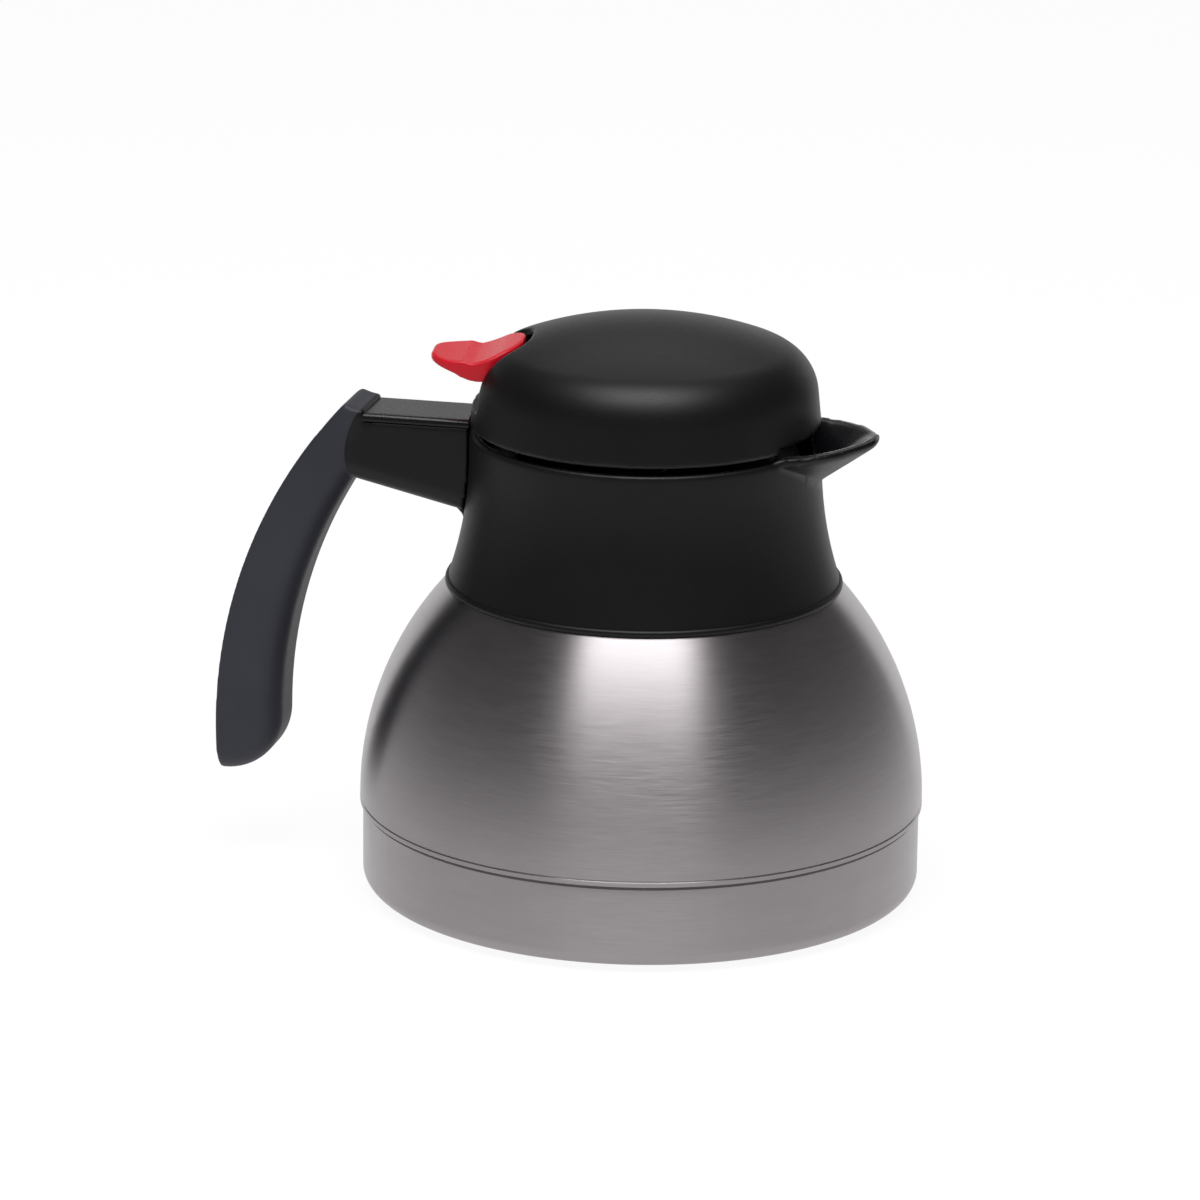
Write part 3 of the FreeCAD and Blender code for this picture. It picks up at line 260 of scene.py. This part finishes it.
def moulded_grain(tree, place, low_hex, high_hex, dull_low, dull_high, grain, relief):
    """Colour, roughness and normal of plastic from an etched tool."""
    tooth = add_node(tree, "ShaderNodeTexNoise", {
        "Vector": place, "Scale": 1.0 / grain, "Detail": 3.0, "Roughness": 0.6})
    drift = add_node(tree, "ShaderNodeTexNoise", {
        "Vector": place, "Scale": 1.0 / DRIFT_PITCH, "Detail": 2.0})
    tint = add_node(tree, "ShaderNodeValToRGB", {"Fac": drift.outputs["Fac"]})
    tint.color_ramp.elements[0].position = NOISE_LOW
    tint.color_ramp.elements[0].color = linear(low_hex)
    tint.color_ramp.elements[1].position = NOISE_HIGH
    tint.color_ramp.elements[1].color = linear(high_hex)
    dullness = add_node(tree, "ShaderNodeMapRange", {
        "Value": tooth.outputs["Fac"], "From Min": NOISE_LOW, "From Max": NOISE_HIGH,
        "To Min": dull_low, "To Max": dull_high})
    bumps = add_node(tree, "ShaderNodeBump", {
        "Height": tooth.outputs["Fac"], "Strength": relief, "Distance": GRAIN_DEPTH})
    return tint.outputs["Color"], dullness.outputs["Result"], bumps.outputs["Normal"]


def grained_plastic(name, low_hex, high_hex, dull_low, dull_high, grain, relief, specular):
    """Moulded plastic with an etched-tool grain."""
    material, tree = new_tree(name)
    place = add_node(tree, "ShaderNodeTexCoord").outputs["Object"]
    tint, dullness, bumps = moulded_grain(
        tree, place, low_hex, high_hex, dull_low, dull_high, grain, relief)
    plastic = add_node(tree, "ShaderNodeBsdfPrincipled", {
        "Base Color": tint, "Roughness": dullness, "Normal": bumps,
        "IOR": PLASTIC_IOR, "Specular IOR Level": specular})
    close_tree(tree, plastic.outputs["BSDF"])
    return material


def handle_plastic_painted_lit_grip():
    """Glass-filled polypropylene of the handle, one material: the grip is painted a lighter grey than
    the lid, painted light for the light that falls on it, and is duller; the arm in front of the
    throat is as black as the collar."""
    material, tree = new_tree("polypropylene_painted_lit_grip")
    place = add_node(tree, "ShaderNodeTexCoord").outputs["Object"]
    arm_tint, arm_dullness, bumps = moulded_grain(
        tree, place, "08070A", "0B0A0D", dull_low=0.44, dull_high=0.52, grain=0.55 * MM, relief=0.1)
    # Painted light: the grip's lighter charcoal stands for the light that falls on it, on the same
    # black plastic as the arm.
    grip_painted_light_tint, grip_dullness = moulded_grain(
        tree, place, "272830", "2C2D35", dull_low=0.48, dull_high=0.58, grain=0.6 * MM, relief=0.1)[:2]
    parts = add_node(tree, "ShaderNodeSeparateXYZ", {0: place})
    beside = add_node(tree, "ShaderNodeMath", {0: parts.outputs[0], 1: THROAT_CENTRE_X},
                      operation="SUBTRACT")
    behind = add_node(tree, "ShaderNodeMath", {0: beside.outputs[0], 1: 0.0}, operation="MINIMUM")
    above = add_node(tree, "ShaderNodeMath", {0: parts.outputs[2], 1: THROAT_CENTRE_Z},
                     operation="SUBTRACT")
    away = add_node(tree, "ShaderNodeCombineXYZ", {0: behind.outputs[0], 1: above.outputs[0]})
    reach = add_node(tree, "ShaderNodeVectorMath", {0: away.outputs[0]}, operation="LENGTH")
    # Painted light: 1 behind the throat's arc, where the grip's colour is painted lighter.
    painted_light_on_grip = add_node(tree, "ShaderNodeMapRange", {
        "Value": reach.outputs["Value"],
        "From Min": THROAT_RADIUS - THROAT_BLUR, "From Max": THROAT_RADIUS + THROAT_BLUR})
    share = painted_light_on_grip.outputs["Result"]
    # The mixing node has a set of sockets for each data type; 6 and 7 are its two colours.
    tint = add_node(tree, "ShaderNodeMix", {0: share, 6: arm_tint, 7: grip_painted_light_tint}, data_type="RGBA")
    dullness = add_node(tree, "ShaderNodeMix", {0: share, 2: arm_dullness, 3: grip_dullness})
    plastic = add_node(tree, "ShaderNodeBsdfPrincipled", {
        "Base Color": tint.outputs[2], "Roughness": dullness.outputs[0], "Normal": bumps,
        "IOR": PLASTIC_IOR, "Specular IOR Level": 0.32})
    close_tree(tree, plastic.outputs["BSDF"])
    return material


def plain_metal(name, low_hex, high_hex, dull_low, dull_high, mark):
    """Drawn or plated metal with faint handling marks."""
    material, tree = new_tree(name)
    place = add_node(tree, "ShaderNodeTexCoord").outputs["Object"]
    marks = add_node(tree, "ShaderNodeTexNoise", {
        "Vector": place, "Scale": 1.0 / mark, "Detail": 4.0})
    tint = add_node(tree, "ShaderNodeValToRGB", {"Fac": marks.outputs["Fac"]})
    tint.color_ramp.elements[0].position = NOISE_LOW
    tint.color_ramp.elements[0].color = linear(low_hex)
    tint.color_ramp.elements[1].position = NOISE_HIGH
    tint.color_ramp.elements[1].color = linear(high_hex)
    dullness = add_node(tree, "ShaderNodeMapRange", {
        "Value": marks.outputs["Fac"], "From Min": NOISE_LOW, "From Max": NOISE_HIGH,
        "To Min": dull_low, "To Max": dull_high})
    metal = add_node(tree, "ShaderNodeBsdfPrincipled", {
        "Base Color": tint.outputs["Color"], "Roughness": dullness.outputs["Result"],
        "Metallic": 1.0})
    close_tree(tree, metal.outputs["BSDF"])
    return material


# Polypropylene off an etched tool: near-black, with a broad soft sheen and a fine tooth.
lid_black = grained_plastic(
    "etched_polypropylene_black", "060508", "09080B",
    dull_low=0.42, dull_high=0.50, grain=0.55 * MM, relief=0.10, specular=0.34)
# The same polypropylene off a polished tool, on the arm's cover and in the pouring channel: it
# mirrors the room a little, so it is light where it faces the sky and black inside the spout.
channel_black = grained_plastic(
    "polished_polypropylene_black", "08070A", "0B0A0D",
    dull_low=0.26, dull_high=0.32, grain=0.9 * MM, relief=0.006, specular=0.45)
# Glass-filled polypropylene: dull and finely toothed, black on the arm, and painted a lighter charcoal
# on the grip as painted light.
handle_black_painted_lit_grip = handle_plastic_painted_lit_grip()
# ABS off a polished tool: clear red with a soft gloss.
lever_red = grained_plastic(
    "moulded_abs_red", "AC0016", "B4021A",
    dull_low=0.34, dull_high=0.42, grain=0.8 * MM, relief=0.02, specular=0.34)
# Moulded polypropylene of the stopper: charcoal and a little duller than the lid.
stopper_grey = grained_plastic(
    "moulded_polypropylene_charcoal", "121214", "17171A",
    dull_low=0.5, dull_high=0.58, grain=0.7 * MM, relief=0.06, specular=0.15)
# Grey silicone rubber: dull, with no clear highlight.
seal_rubber = grained_plastic(
    "silicone_rubber", "57575A", "606064",
    dull_low=0.58, dull_high=0.68, grain=0.9 * MM, relief=0.05, specular=0.35)
# Electropolished stainless of the inner flask: bright, with a faint cloud.
flask_steel = plain_metal(
    "electropolished_stainless", "A9A6A4", "B9B6B4", dull_low=0.18, dull_high=0.26, mark=9.0 * MM)
# Zinc-plated screw steel: bluish and a little patchy.
zinc_plate = plain_metal(
    "zinc_plated_steel", "A9ADB2", "BDC1C6", dull_low=0.26, dull_high=0.4, mark=1.5 * MM)
# Stainless sheet brushed round the pot: a warm grey with fine level scratches.
shell_steel = brushed_stainless()

finishes = {
    shell_steel: ("outer_shell", "base_cup"),
    flask_steel: ("inner_flask", "flask_base", "vacuum_plug", "getter_cup", "lever_pin",
                  "valve_spring"),
    lid_black: ("neck_collar", "lid_dome", "foot_ring"),
    channel_black: ("arm_cover",),
    handle_black_painted_lit_grip: ("handle", "grip_back"),
    lever_red: ("thumb_lever",),
    stopper_grey: ("stopper_body", "valve_seat", "valve_stem", "stem_cap", "valve_disc"),
    seal_rubber: ("neck_gasket", "stopper_gasket", "valve_seal"),
    zinc_plate: ("handle_screws",),
}
for finish, names in finishes.items():
    for name in names:
        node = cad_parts[name]
        node.data.materials.clear()
        node.data.materials.append(finish)


def copy_of(node_name, piece_name):
    """A merged copy of a CAD node's mesh, as the start of a finer piece."""
    bpy.ops.object.select_all(action="DESELECT")
    piece = bpy.data.objects.new(piece_name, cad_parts[node_name].data.copy())
    bpy.context.scene.collection.objects.link(piece)
    piece.select_set(True)
    bpy.context.view_layer.objects.active = piece
    bpy.ops.object.mode_set(mode="EDIT")
    bpy.ops.mesh.select_mode(type="VERT")
    bpy.ops.mesh.select_all(action="SELECT")
    bpy.ops.mesh.remove_doubles(threshold=MERGE)
    bpy.ops.mesh.customdata_custom_splitnormals_clear()
    bpy.ops.object.mode_set(mode="OBJECT")
    return piece


def worked(piece, kind, **settings):
    """Gives a piece one modifier and applies it."""
    step = piece.modifiers.new(kind.lower(), kind)
    for name, value in settings.items():
        setattr(step, name, value)
    bpy.ops.object.modifier_apply(modifier=step.name)


def eased(piece, wanted, passes):
    """Rounds off one region of a piece further."""
    region = piece.vertex_groups.new(name="eased")
    places = [vertex.index for vertex in piece.data.vertices if wanted(vertex.co)]
    region.add(places, 1.0, "REPLACE")
    worked(piece, "SMOOTH", factor=0.5, iterations=passes, vertex_group=region.name)
    piece.vertex_groups.clear()


def choose(piece, wanted):
    """Selects the vertices of a piece whose place suits, and opens it for editing."""
    for part in (*piece.data.polygons, *piece.data.edges):
        part.select = False
    for vertex in piece.data.vertices:
        vertex.select = wanted(vertex.co)
    bpy.ops.object.mode_set(mode="EDIT")
    bpy.ops.mesh.select_mode(type="VERT")


def recast(piece, cell, passes):
    """Makes one even skin of a piece, with no edge quite sharp, as it leaves a mould."""
    worked(piece, "REMESH", mode="VOXEL", voxel_size=cell)
    worked(piece, "SMOOTH", factor=0.5, iterations=passes)


def joined(piece, added):
    """Makes a piece and what is added to it one mesh."""
    bpy.ops.object.select_all(action="DESELECT")
    added.select_set(True)
    piece.select_set(True)
    bpy.context.view_layer.objects.active = piece
    bpy.ops.object.join()


def stop_foot():
    """Block under the thumb stop, before it is recast with the handle."""
    bpy.ops.object.select_all(action="DESELECT")
    bpy.ops.mesh.primitive_cube_add(size=1.0)
    block = bpy.context.object
    bpy.ops.object.mode_set(mode="EDIT")
    bpy.ops.mesh.select_all(action="SELECT")
    bpy.ops.transform.resize(value=STOP_FOOT_HIGH - STOP_FOOT_LOW, center_override=(0, 0, 0))
    bpy.ops.transform.translate(value=(STOP_FOOT_LOW + STOP_FOOT_HIGH) / 2)
    bpy.ops.object.mode_set(mode="OBJECT")
    return block


def collar_bead():
    """Rolled bead at the collar's lower edge."""
    bpy.ops.object.select_all(action="DESELECT")
    bpy.ops.mesh.primitive_torus_add(
        major_radius=BEAD_RADIUS, minor_radius=BEAD_WIDTH,
        major_segments=BEAD_SEGMENTS, minor_segments=BEAD_SIDES)
    bead = bpy.context.object
    bpy.ops.object.mode_set(mode="EDIT")
    bpy.ops.mesh.select_all(action="SELECT")
    bpy.ops.transform.resize(value=(1.0, 1.0, BEAD_STRETCH), center_override=(0, 0, 0))
    bpy.ops.transform.translate(value=(0, 0, BEAD_LEVEL))
    bpy.ops.object.mode_set(mode="OBJECT")
    return bead


def trimmed(piece, level):
    """Cuts a piece off level below and closes the cut wall."""
    bpy.ops.object.mode_set(mode="EDIT")
    bpy.ops.mesh.select_all(action="SELECT")
    bpy.ops.mesh.bisect(
        plane_co=(0, 0, level), plane_no=(0, 0, 1), clear_inner=True, threshold=MERGE)
    bpy.ops.object.mode_set(mode="OBJECT")
    choose(piece, lambda co: abs(co.z - level) < MERGE)
    bpy.ops.mesh.bridge_edge_loops()
    bpy.ops.object.mode_set(mode="OBJECT")


def scored(piece, level, width, depth, inside):
    """A fine level groove round the outside of a piece."""
    bpy.ops.object.mode_set(mode="EDIT")
    for height in (level - width / 2, level, level + width / 2):
        bpy.ops.mesh.select_all(action="SELECT")
        bpy.ops.mesh.bisect(plane_co=(0, 0, height), plane_no=(0, 0, 1), threshold=MERGE)
    bpy.ops.object.mode_set(mode="OBJECT")
    choose(piece, lambda co: abs(co.z - level) < MERGE and math.hypot(co.x, co.y) > inside)
    share = 1.0 - depth / inside
    bpy.ops.transform.resize(value=(share, share, 1.0), center_override=(0, 0, level))
    bpy.ops.object.mode_set(mode="OBJECT")


def finished(piece, body, slot, replaced, *finish, crease=MOULDED_CREASE):
    """Shades a piece, paints it and lets it ride on its body."""
    bpy.ops.object.shade_smooth_by_angle(angle=crease)
    piece.data.materials.clear()
    for paint in finish:
        piece.data.materials.append(paint)
    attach(piece, body)
    if replaced:
        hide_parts(replaced)


def painted_apart(piece, wanted):
    """Gives the faces that suit the piece's second finish."""
    for face in piece.data.polygons:
        face.material_index = 1 if wanted(face.center, face.normal) else 0


def in_channel(centre, normal):
    """Faces of the collar that line the pouring channel."""
    inward = -(normal.x * centre.x + normal.y * centre.y) / math.hypot(centre.x, centre.y)
    if centre.z < SPOUT_FOOT:
        return False
    if centre.x > LIP_START and normal.z > LIP_FACING:
        return True
    return centre.x > CHANNEL_START and inward > CHANNEL_FACING


def pad_raised(piece):
    """Lifts the end of the lever's pad, and draws what is round it with it."""
    choose(piece, lambda co: co.z > PAD_TOP
           and -co.x * math.cos(LID_TURN) - co.y * math.sin(LID_TURN) > PAD_START)
    bpy.ops.transform.translate(
        value=(0, 0, PAD_LIFT), use_proportional_edit=True, proportional_edit_falloff="SMOOTH",
        proportional_size=PAD_SPREAD)
    bpy.ops.object.mode_set(mode="OBJECT")


def chamfered(piece):
    """Breaks the upper outer edge of the base cup."""
    bpy.ops.object.mode_set(mode="EDIT")
    bpy.ops.mesh.select_all(action="SELECT")
    bpy.ops.mesh.bisect(
        plane_co=(0, 0, CUP_TOP - CUP_CHAMFER), plane_no=(0, 0, 1), threshold=MERGE)
    bpy.ops.object.mode_set(mode="OBJECT")
    choose(piece, lambda co: co.z > CUP_TOP - CUP_CHAMFER / 2
           and math.hypot(co.x, co.y) > CUP_INSIDE)
    share = 1.0 - CUP_CHAMFER / CUP_INSIDE
    bpy.ops.transform.resize(value=(share, share, 1.0), center_override=(0, 0, CUP_TOP))
    bpy.ops.object.mode_set(mode="OBJECT")


def thread_rib():
    """One rib of the stopper's quick thread."""
    bpy.ops.object.select_all(action="DESELECT")
    bpy.ops.mesh.primitive_plane_add(size=1.0)
    rib = bpy.context.object
    bpy.ops.object.mode_set(mode="EDIT")
    bpy.ops.mesh.select_all(action="SELECT")
    bpy.ops.transform.rotate(value=math.pi / 2, orient_axis="X", center_override=(0, 0, 0))
    bpy.ops.transform.resize(
        value=(RIB_OUTER - RIB_INNER, 1.0, RIB_HEIGHT), center_override=(0, 0, 0))
    bpy.ops.transform.translate(value=((RIB_OUTER + RIB_INNER) / 2, 0, RIB_LOW))
    bpy.ops.mesh.delete(type="ONLY_FACE")
    bpy.ops.object.mode_set(mode="OBJECT")
    worked(rib, "SCREW", axis="Z", angle=RIB_ARC, screw_offset=RIB_RISE, steps=RIB_STEPS,
           render_steps=RIB_STEPS, use_merge_vertices=False)
    bpy.ops.object.mode_set(mode="EDIT")
    bpy.ops.mesh.select_all(action="SELECT")
    bpy.ops.mesh.fill_holes(sides=4)
    bpy.ops.mesh.select_all(action="SELECT")
    bpy.ops.mesh.normals_make_consistent(inside=False)
    bpy.ops.object.mode_set(mode="OBJECT")
    worked(rib, "BEVEL", width=RIB_EDGE, segments=2, limit_method="ANGLE")
    return rib


def cross_cutter(place, level):
    """The tapered cross that a driver fits."""
    bars = []
    for turn in (0.0, math.pi / 2):
        bpy.ops.object.select_all(action="DESELECT")
        bpy.ops.mesh.primitive_cube_add(size=1.0)
        bar = bpy.context.object
        bpy.ops.object.mode_set(mode="EDIT")
        bpy.ops.mesh.select_all(action="SELECT")
        bpy.ops.transform.resize(
            value=(CROSS_LENGTH, CROSS_WIDTH, CROSS_DEPTH * 2), center_override=(0, 0, 0))
        bpy.ops.object.mode_set(mode="OBJECT")
        choose(bar, lambda co: co.z > 0)
        bpy.ops.transform.resize(value=(CROSS_TAPER, CROSS_TAPER, 1.0), center_override=(0, 0, 0))
        bpy.ops.mesh.select_all(action="SELECT")
        bpy.ops.transform.rotate(value=turn, orient_axis="Z", center_override=(0, 0, 0))
        bpy.ops.transform.translate(value=(place, 0, level))
        bpy.ops.object.mode_set(mode="OBJECT")
        bars.append(bar)
    return bars


def crossed_screws():
    """The arm's two screws with a cross in each head."""
    cutters = [bar for place, level in SCREW_HEADS for bar in cross_cutter(place, level)]
    screws = copy_of("handle_screws", "crossed_screws")
    for bar in cutters:
        worked(screws, "BOOLEAN", operation="DIFFERENCE", object=bar, solver="EXACT")
        bpy.data.objects.remove(bar)
    return screws


handle = copy_of("handle", "handle_moulding")
joined(handle, stop_foot())
recast(handle, HANDLE_CELL, HANDLE_PASSES)
eased(handle, lambda co: co.x < THUMB_STOP_BACK and co.z > THUMB_STOP_FOOT, THUMB_STOP_PASSES)
worked(handle, "DECIMATE", ratio=KEPT_SHARE)
finished(handle, "pot", "black_plastic", "handle", handle_black_painted_lit_grip)

collar = copy_of("neck_collar", "collar_moulding")
recast(collar, COLLAR_CELL, COLLAR_PASSES)
eased(collar, lambda co: co.x > SPOUT_REACH and co.z > SPOUT_FOOT, SPOUT_PASSES)
worked(collar, "DECIMATE", ratio=KEPT_SHARE)
trimmed(collar, BEAD_JOINT)
joined(collar, collar_bead())
finished(collar, "pot", "black_plastic", "neck_collar", lid_black, channel_black)
painted_apart(collar, in_channel)

lever = copy_of("thumb_lever", "lever_moulding")
recast(lever, LEVER_CELL, LEVER_PASSES)
worked(lever, "DECIMATE", ratio=KEPT_SHARE)
pad_raised(lever)
finished(lever, "lever", "red_plastic", "thumb_lever", lever_red)

dome = copy_of("lid_dome", "lid_moulding")
recast(dome, LID_CELL, LID_PASSES)
worked(dome, "DECIMATE", ratio=KEPT_SHARE)
finished(dome, "lid", "black_plastic", "lid_dome", lid_black)

cup = copy_of("base_cup", "chamfered_cup")
chamfered(cup)
finished(cup, "pot", "brushed_steel", "base_cup", shell_steel, crease=SHEET_CREASE)

shell = copy_of("outer_shell", "hemmed_shell")
scored(shell, HEM_LEVEL, HEM_GROOVE, HEM_DEPTH, HEM_INSIDE)
finished(shell, "pot", "brushed_steel", "outer_shell", shell_steel, crease=SHEET_CREASE)

finished(crossed_screws(), "pot", "zinc_steel", "handle_screws", zinc_plate, crease=SHEET_CREASE)

spring = copy_of("valve_spring", "closing_spring")
finished(spring, "lid", "plain_steel", "valve_spring", flask_steel)
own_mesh(spring)

rib = thread_rib()
for count in range(RIB_COUNT):
    turned = rib.copy()
    turned.data = rib.data.copy()
    turned.name = "stopper_rib_%d" % (count + 1)
    bpy.context.scene.collection.objects.link(turned)
    bpy.ops.object.select_all(action="DESELECT")
    turned.select_set(True)
    bpy.context.view_layer.objects.active = turned
    turned.rotation_euler.z = 2 * math.pi * count / RIB_COUNT
    bpy.ops.object.transform_apply(location=True, rotation=True, scale=True)
    finished(turned, "lid", "grey_plastic", None, stopper_grey)
bpy.data.objects.remove(rib)


def seen_directly(tree):
    """1 where a ray from the camera, a reflection or a see-through surface arrives."""
    path = add_node(tree, "ShaderNodeLightPath")
    first = add_node(tree, "ShaderNodeMath", {
        0: path.outputs["Is Camera Ray"], 1: path.outputs["Is Glossy Ray"]}, operation="MAXIMUM")
    either = add_node(tree, "ShaderNodeMath", {
        0: first.outputs[0], 1: path.outputs["Is Transmission Ray"]}, operation="MAXIMUM")
    return either.outputs[0]


def white_surround():
    """The world: white where it is seen, a softer fill where it lights."""
    world = bpy.data.worlds.new("surround")
    bpy.context.scene.world = world
    world.use_nodes = True
    tree = world.node_tree
    tree.nodes.clear()
    fill = add_node(tree, "ShaderNodeBackground", {
        "Color": (1, 1, 1, 1), "Strength": SURROUND_FILL})
    white = add_node(tree, "ShaderNodeBackground", {"Color": (1, 1, 1, 1), "Strength": 1.0})
    both = add_node(tree, "ShaderNodeMixShader", {
        0: seen_directly(tree), 1: fill.outputs[0], 2: white.outputs[0]})
    add_node(tree, "ShaderNodeOutputWorld", {"Surface": both.outputs[0]})


def floor_paint():
    """Matt white paint that keeps the pot's shadow and reads as white."""
    material, tree = new_tree("floor_white")
    paint = add_node(tree, "ShaderNodeBsdfDiffuse", {"Color": linear(FLOOR_WHITE)})
    glow = add_node(tree, "ShaderNodeEmission", {"Color": (1, 1, 1, 1), "Strength": 1.0})
    share = add_node(tree, "ShaderNodeMath", {0: seen_directly(tree), 1: FLOOR_GLOW},
                     operation="MULTIPLY")
    both = add_node(tree, "ShaderNodeMixShader", {
        0: share.outputs[0], 1: paint.outputs[0], 2: glow.outputs[0]})
    close_tree(tree, both.outputs[0])
    return material


def dark_card(card, name, grey):
    """A card that only reflections see, in one even grey."""
    material, tree = new_tree(name)
    glow = add_node(tree, "ShaderNodeEmission", {"Color": linear(grey), "Strength": 1.0})
    close_tree(tree, glow.outputs[0])
    card.name = name
    card.data.materials.append(material)
    card.visible_camera = False
    card.visible_diffuse = False
    card.visible_transmission = False
    card.visible_shadow = False


def toward(azimuth, elevation):
    """Unit vector from the pot towards a place in the studio; azimuth 0 is the -Y side."""
    return Vector((math.sin(azimuth) * math.cos(elevation),
                   -math.cos(azimuth) * math.cos(elevation),
                   math.sin(elevation)))


def half_ring(level, rise=0.0, share=1.0):
    """The camera's side of a circle round the pot, drawn up into a wall or in into a mat."""
    bpy.ops.object.select_all(action="DESELECT")
    bpy.ops.mesh.primitive_circle_add(
        vertices=DARK_SIDE_SEGMENTS, radius=DARK_SIDE_RADIUS, location=(0, 0, level))
    band = bpy.context.object
    bpy.ops.object.transform_apply(location=True)
    bpy.ops.object.mode_set(mode="EDIT")
    bpy.ops.mesh.select_all(action="SELECT")
    bpy.ops.mesh.extrude_edges_move()
    bpy.ops.transform.resize(value=(share, share, 1.0), center_override=(0, 0, level))
    bpy.ops.transform.translate(value=(0, 0, rise))
    bpy.ops.mesh.select_mode(type="FACE")
    bpy.ops.mesh.select_all(action="DESELECT")
    bpy.ops.object.mode_set(mode="OBJECT")
    camera_side = toward(CAMERA_AZIMUTH, 0.0)
    for face in band.data.polygons:
        flat = Vector((face.center.x, face.center.y, 0.0))
        face.select = flat.angle(camera_side) > DARK_SIDE_SPREAD
    bpy.ops.object.mode_set(mode="EDIT")
    bpy.ops.mesh.delete(type="FACE")
    bpy.ops.object.mode_set(mode="OBJECT")
    return band


def soft_lamp(name, azimuth, elevation, distance, width, depth, power):
    """A rectangular softbox that looks at the pot."""
    back = toward(azimuth, elevation)
    bpy.ops.object.light_add(type="AREA", location=Vector((0, 0, LIGHT_AIM)) + back * distance)
    lamp = bpy.context.object
    lamp.name = name
    lamp.rotation_euler = (-back).to_track_quat("-Z", "Y").to_euler()
    lamp.data.shape = "RECTANGLE"
    lamp.data.size = width
    lamp.data.size_y = depth
    lamp.data.energy = power


bpy.ops.object.select_all(action="DESELECT")
white_surround()

bpy.ops.mesh.primitive_plane_add(size=FLOOR_SIZE, location=(0, 0, 0))
floor = bpy.context.object
floor.name = "studio_floor"
floor.data.materials.append(floor_paint())

bpy.ops.mesh.primitive_plane_add(size=CEILING_SIZE, location=(0, 0, CEILING_HEIGHT))
dark_card(bpy.context.object, "dark_ceiling", CEILING_GREY)
low_wall = half_ring(0.0, rise=LOW_WALL_HEIGHT)
dark_card(low_wall, "low_wall", LOW_WALL_GREY)
high_wall = half_ring(LOW_WALL_HEIGHT, rise=CEILING_HEIGHT - LOW_WALL_HEIGHT)
dark_card(high_wall, "high_wall", HIGH_WALL_GREY)
dark_mat = half_ring(DARK_MAT_LIFT, share=DARK_MAT_INNER / DARK_SIDE_RADIUS)
dark_card(dark_mat, "dark_mat", DARK_MAT_GREY)

soft_lamp("softbox", SOFTBOX_AZIMUTH, SOFTBOX_ELEVATION, SOFTBOX_DISTANCE,
          SOFTBOX_WIDTH, SOFTBOX_DEPTH, SOFTBOX_POWER)
soft_lamp("back_softbox", BACK_AZIMUTH, BACK_ELEVATION, BACK_DISTANCE,
          BACK_WIDTH, BACK_DEPTH, BACK_POWER)

camera_back = toward(CAMERA_AZIMUTH, CAMERA_ELEVATION)
camera_turn = (-camera_back).to_track_quat("-Z", "Y").to_matrix().to_4x4()
bpy.ops.object.camera_add()
camera = bpy.context.object
camera.name = "camera"
camera.matrix_world = (
    Matrix.Translation(Vector((0, 0, CAMERA_HEIGHT)) + camera_back * CAMERA_DISTANCE)
    @ camera_turn
    @ Matrix.Rotation(CAMERA_ROLL, 4, "Z"))
camera.data.sensor_width = SENSOR_WIDTH
camera.data.lens = LENS
camera.data.shift_x = FRAME_SHIFT_X / FRAME_SIZE
camera.data.shift_y = FRAME_SHIFT_Y / FRAME_SIZE
bpy.context.scene.camera = camera
bpy.context.scene.view_settings.view_transform = "Standard"
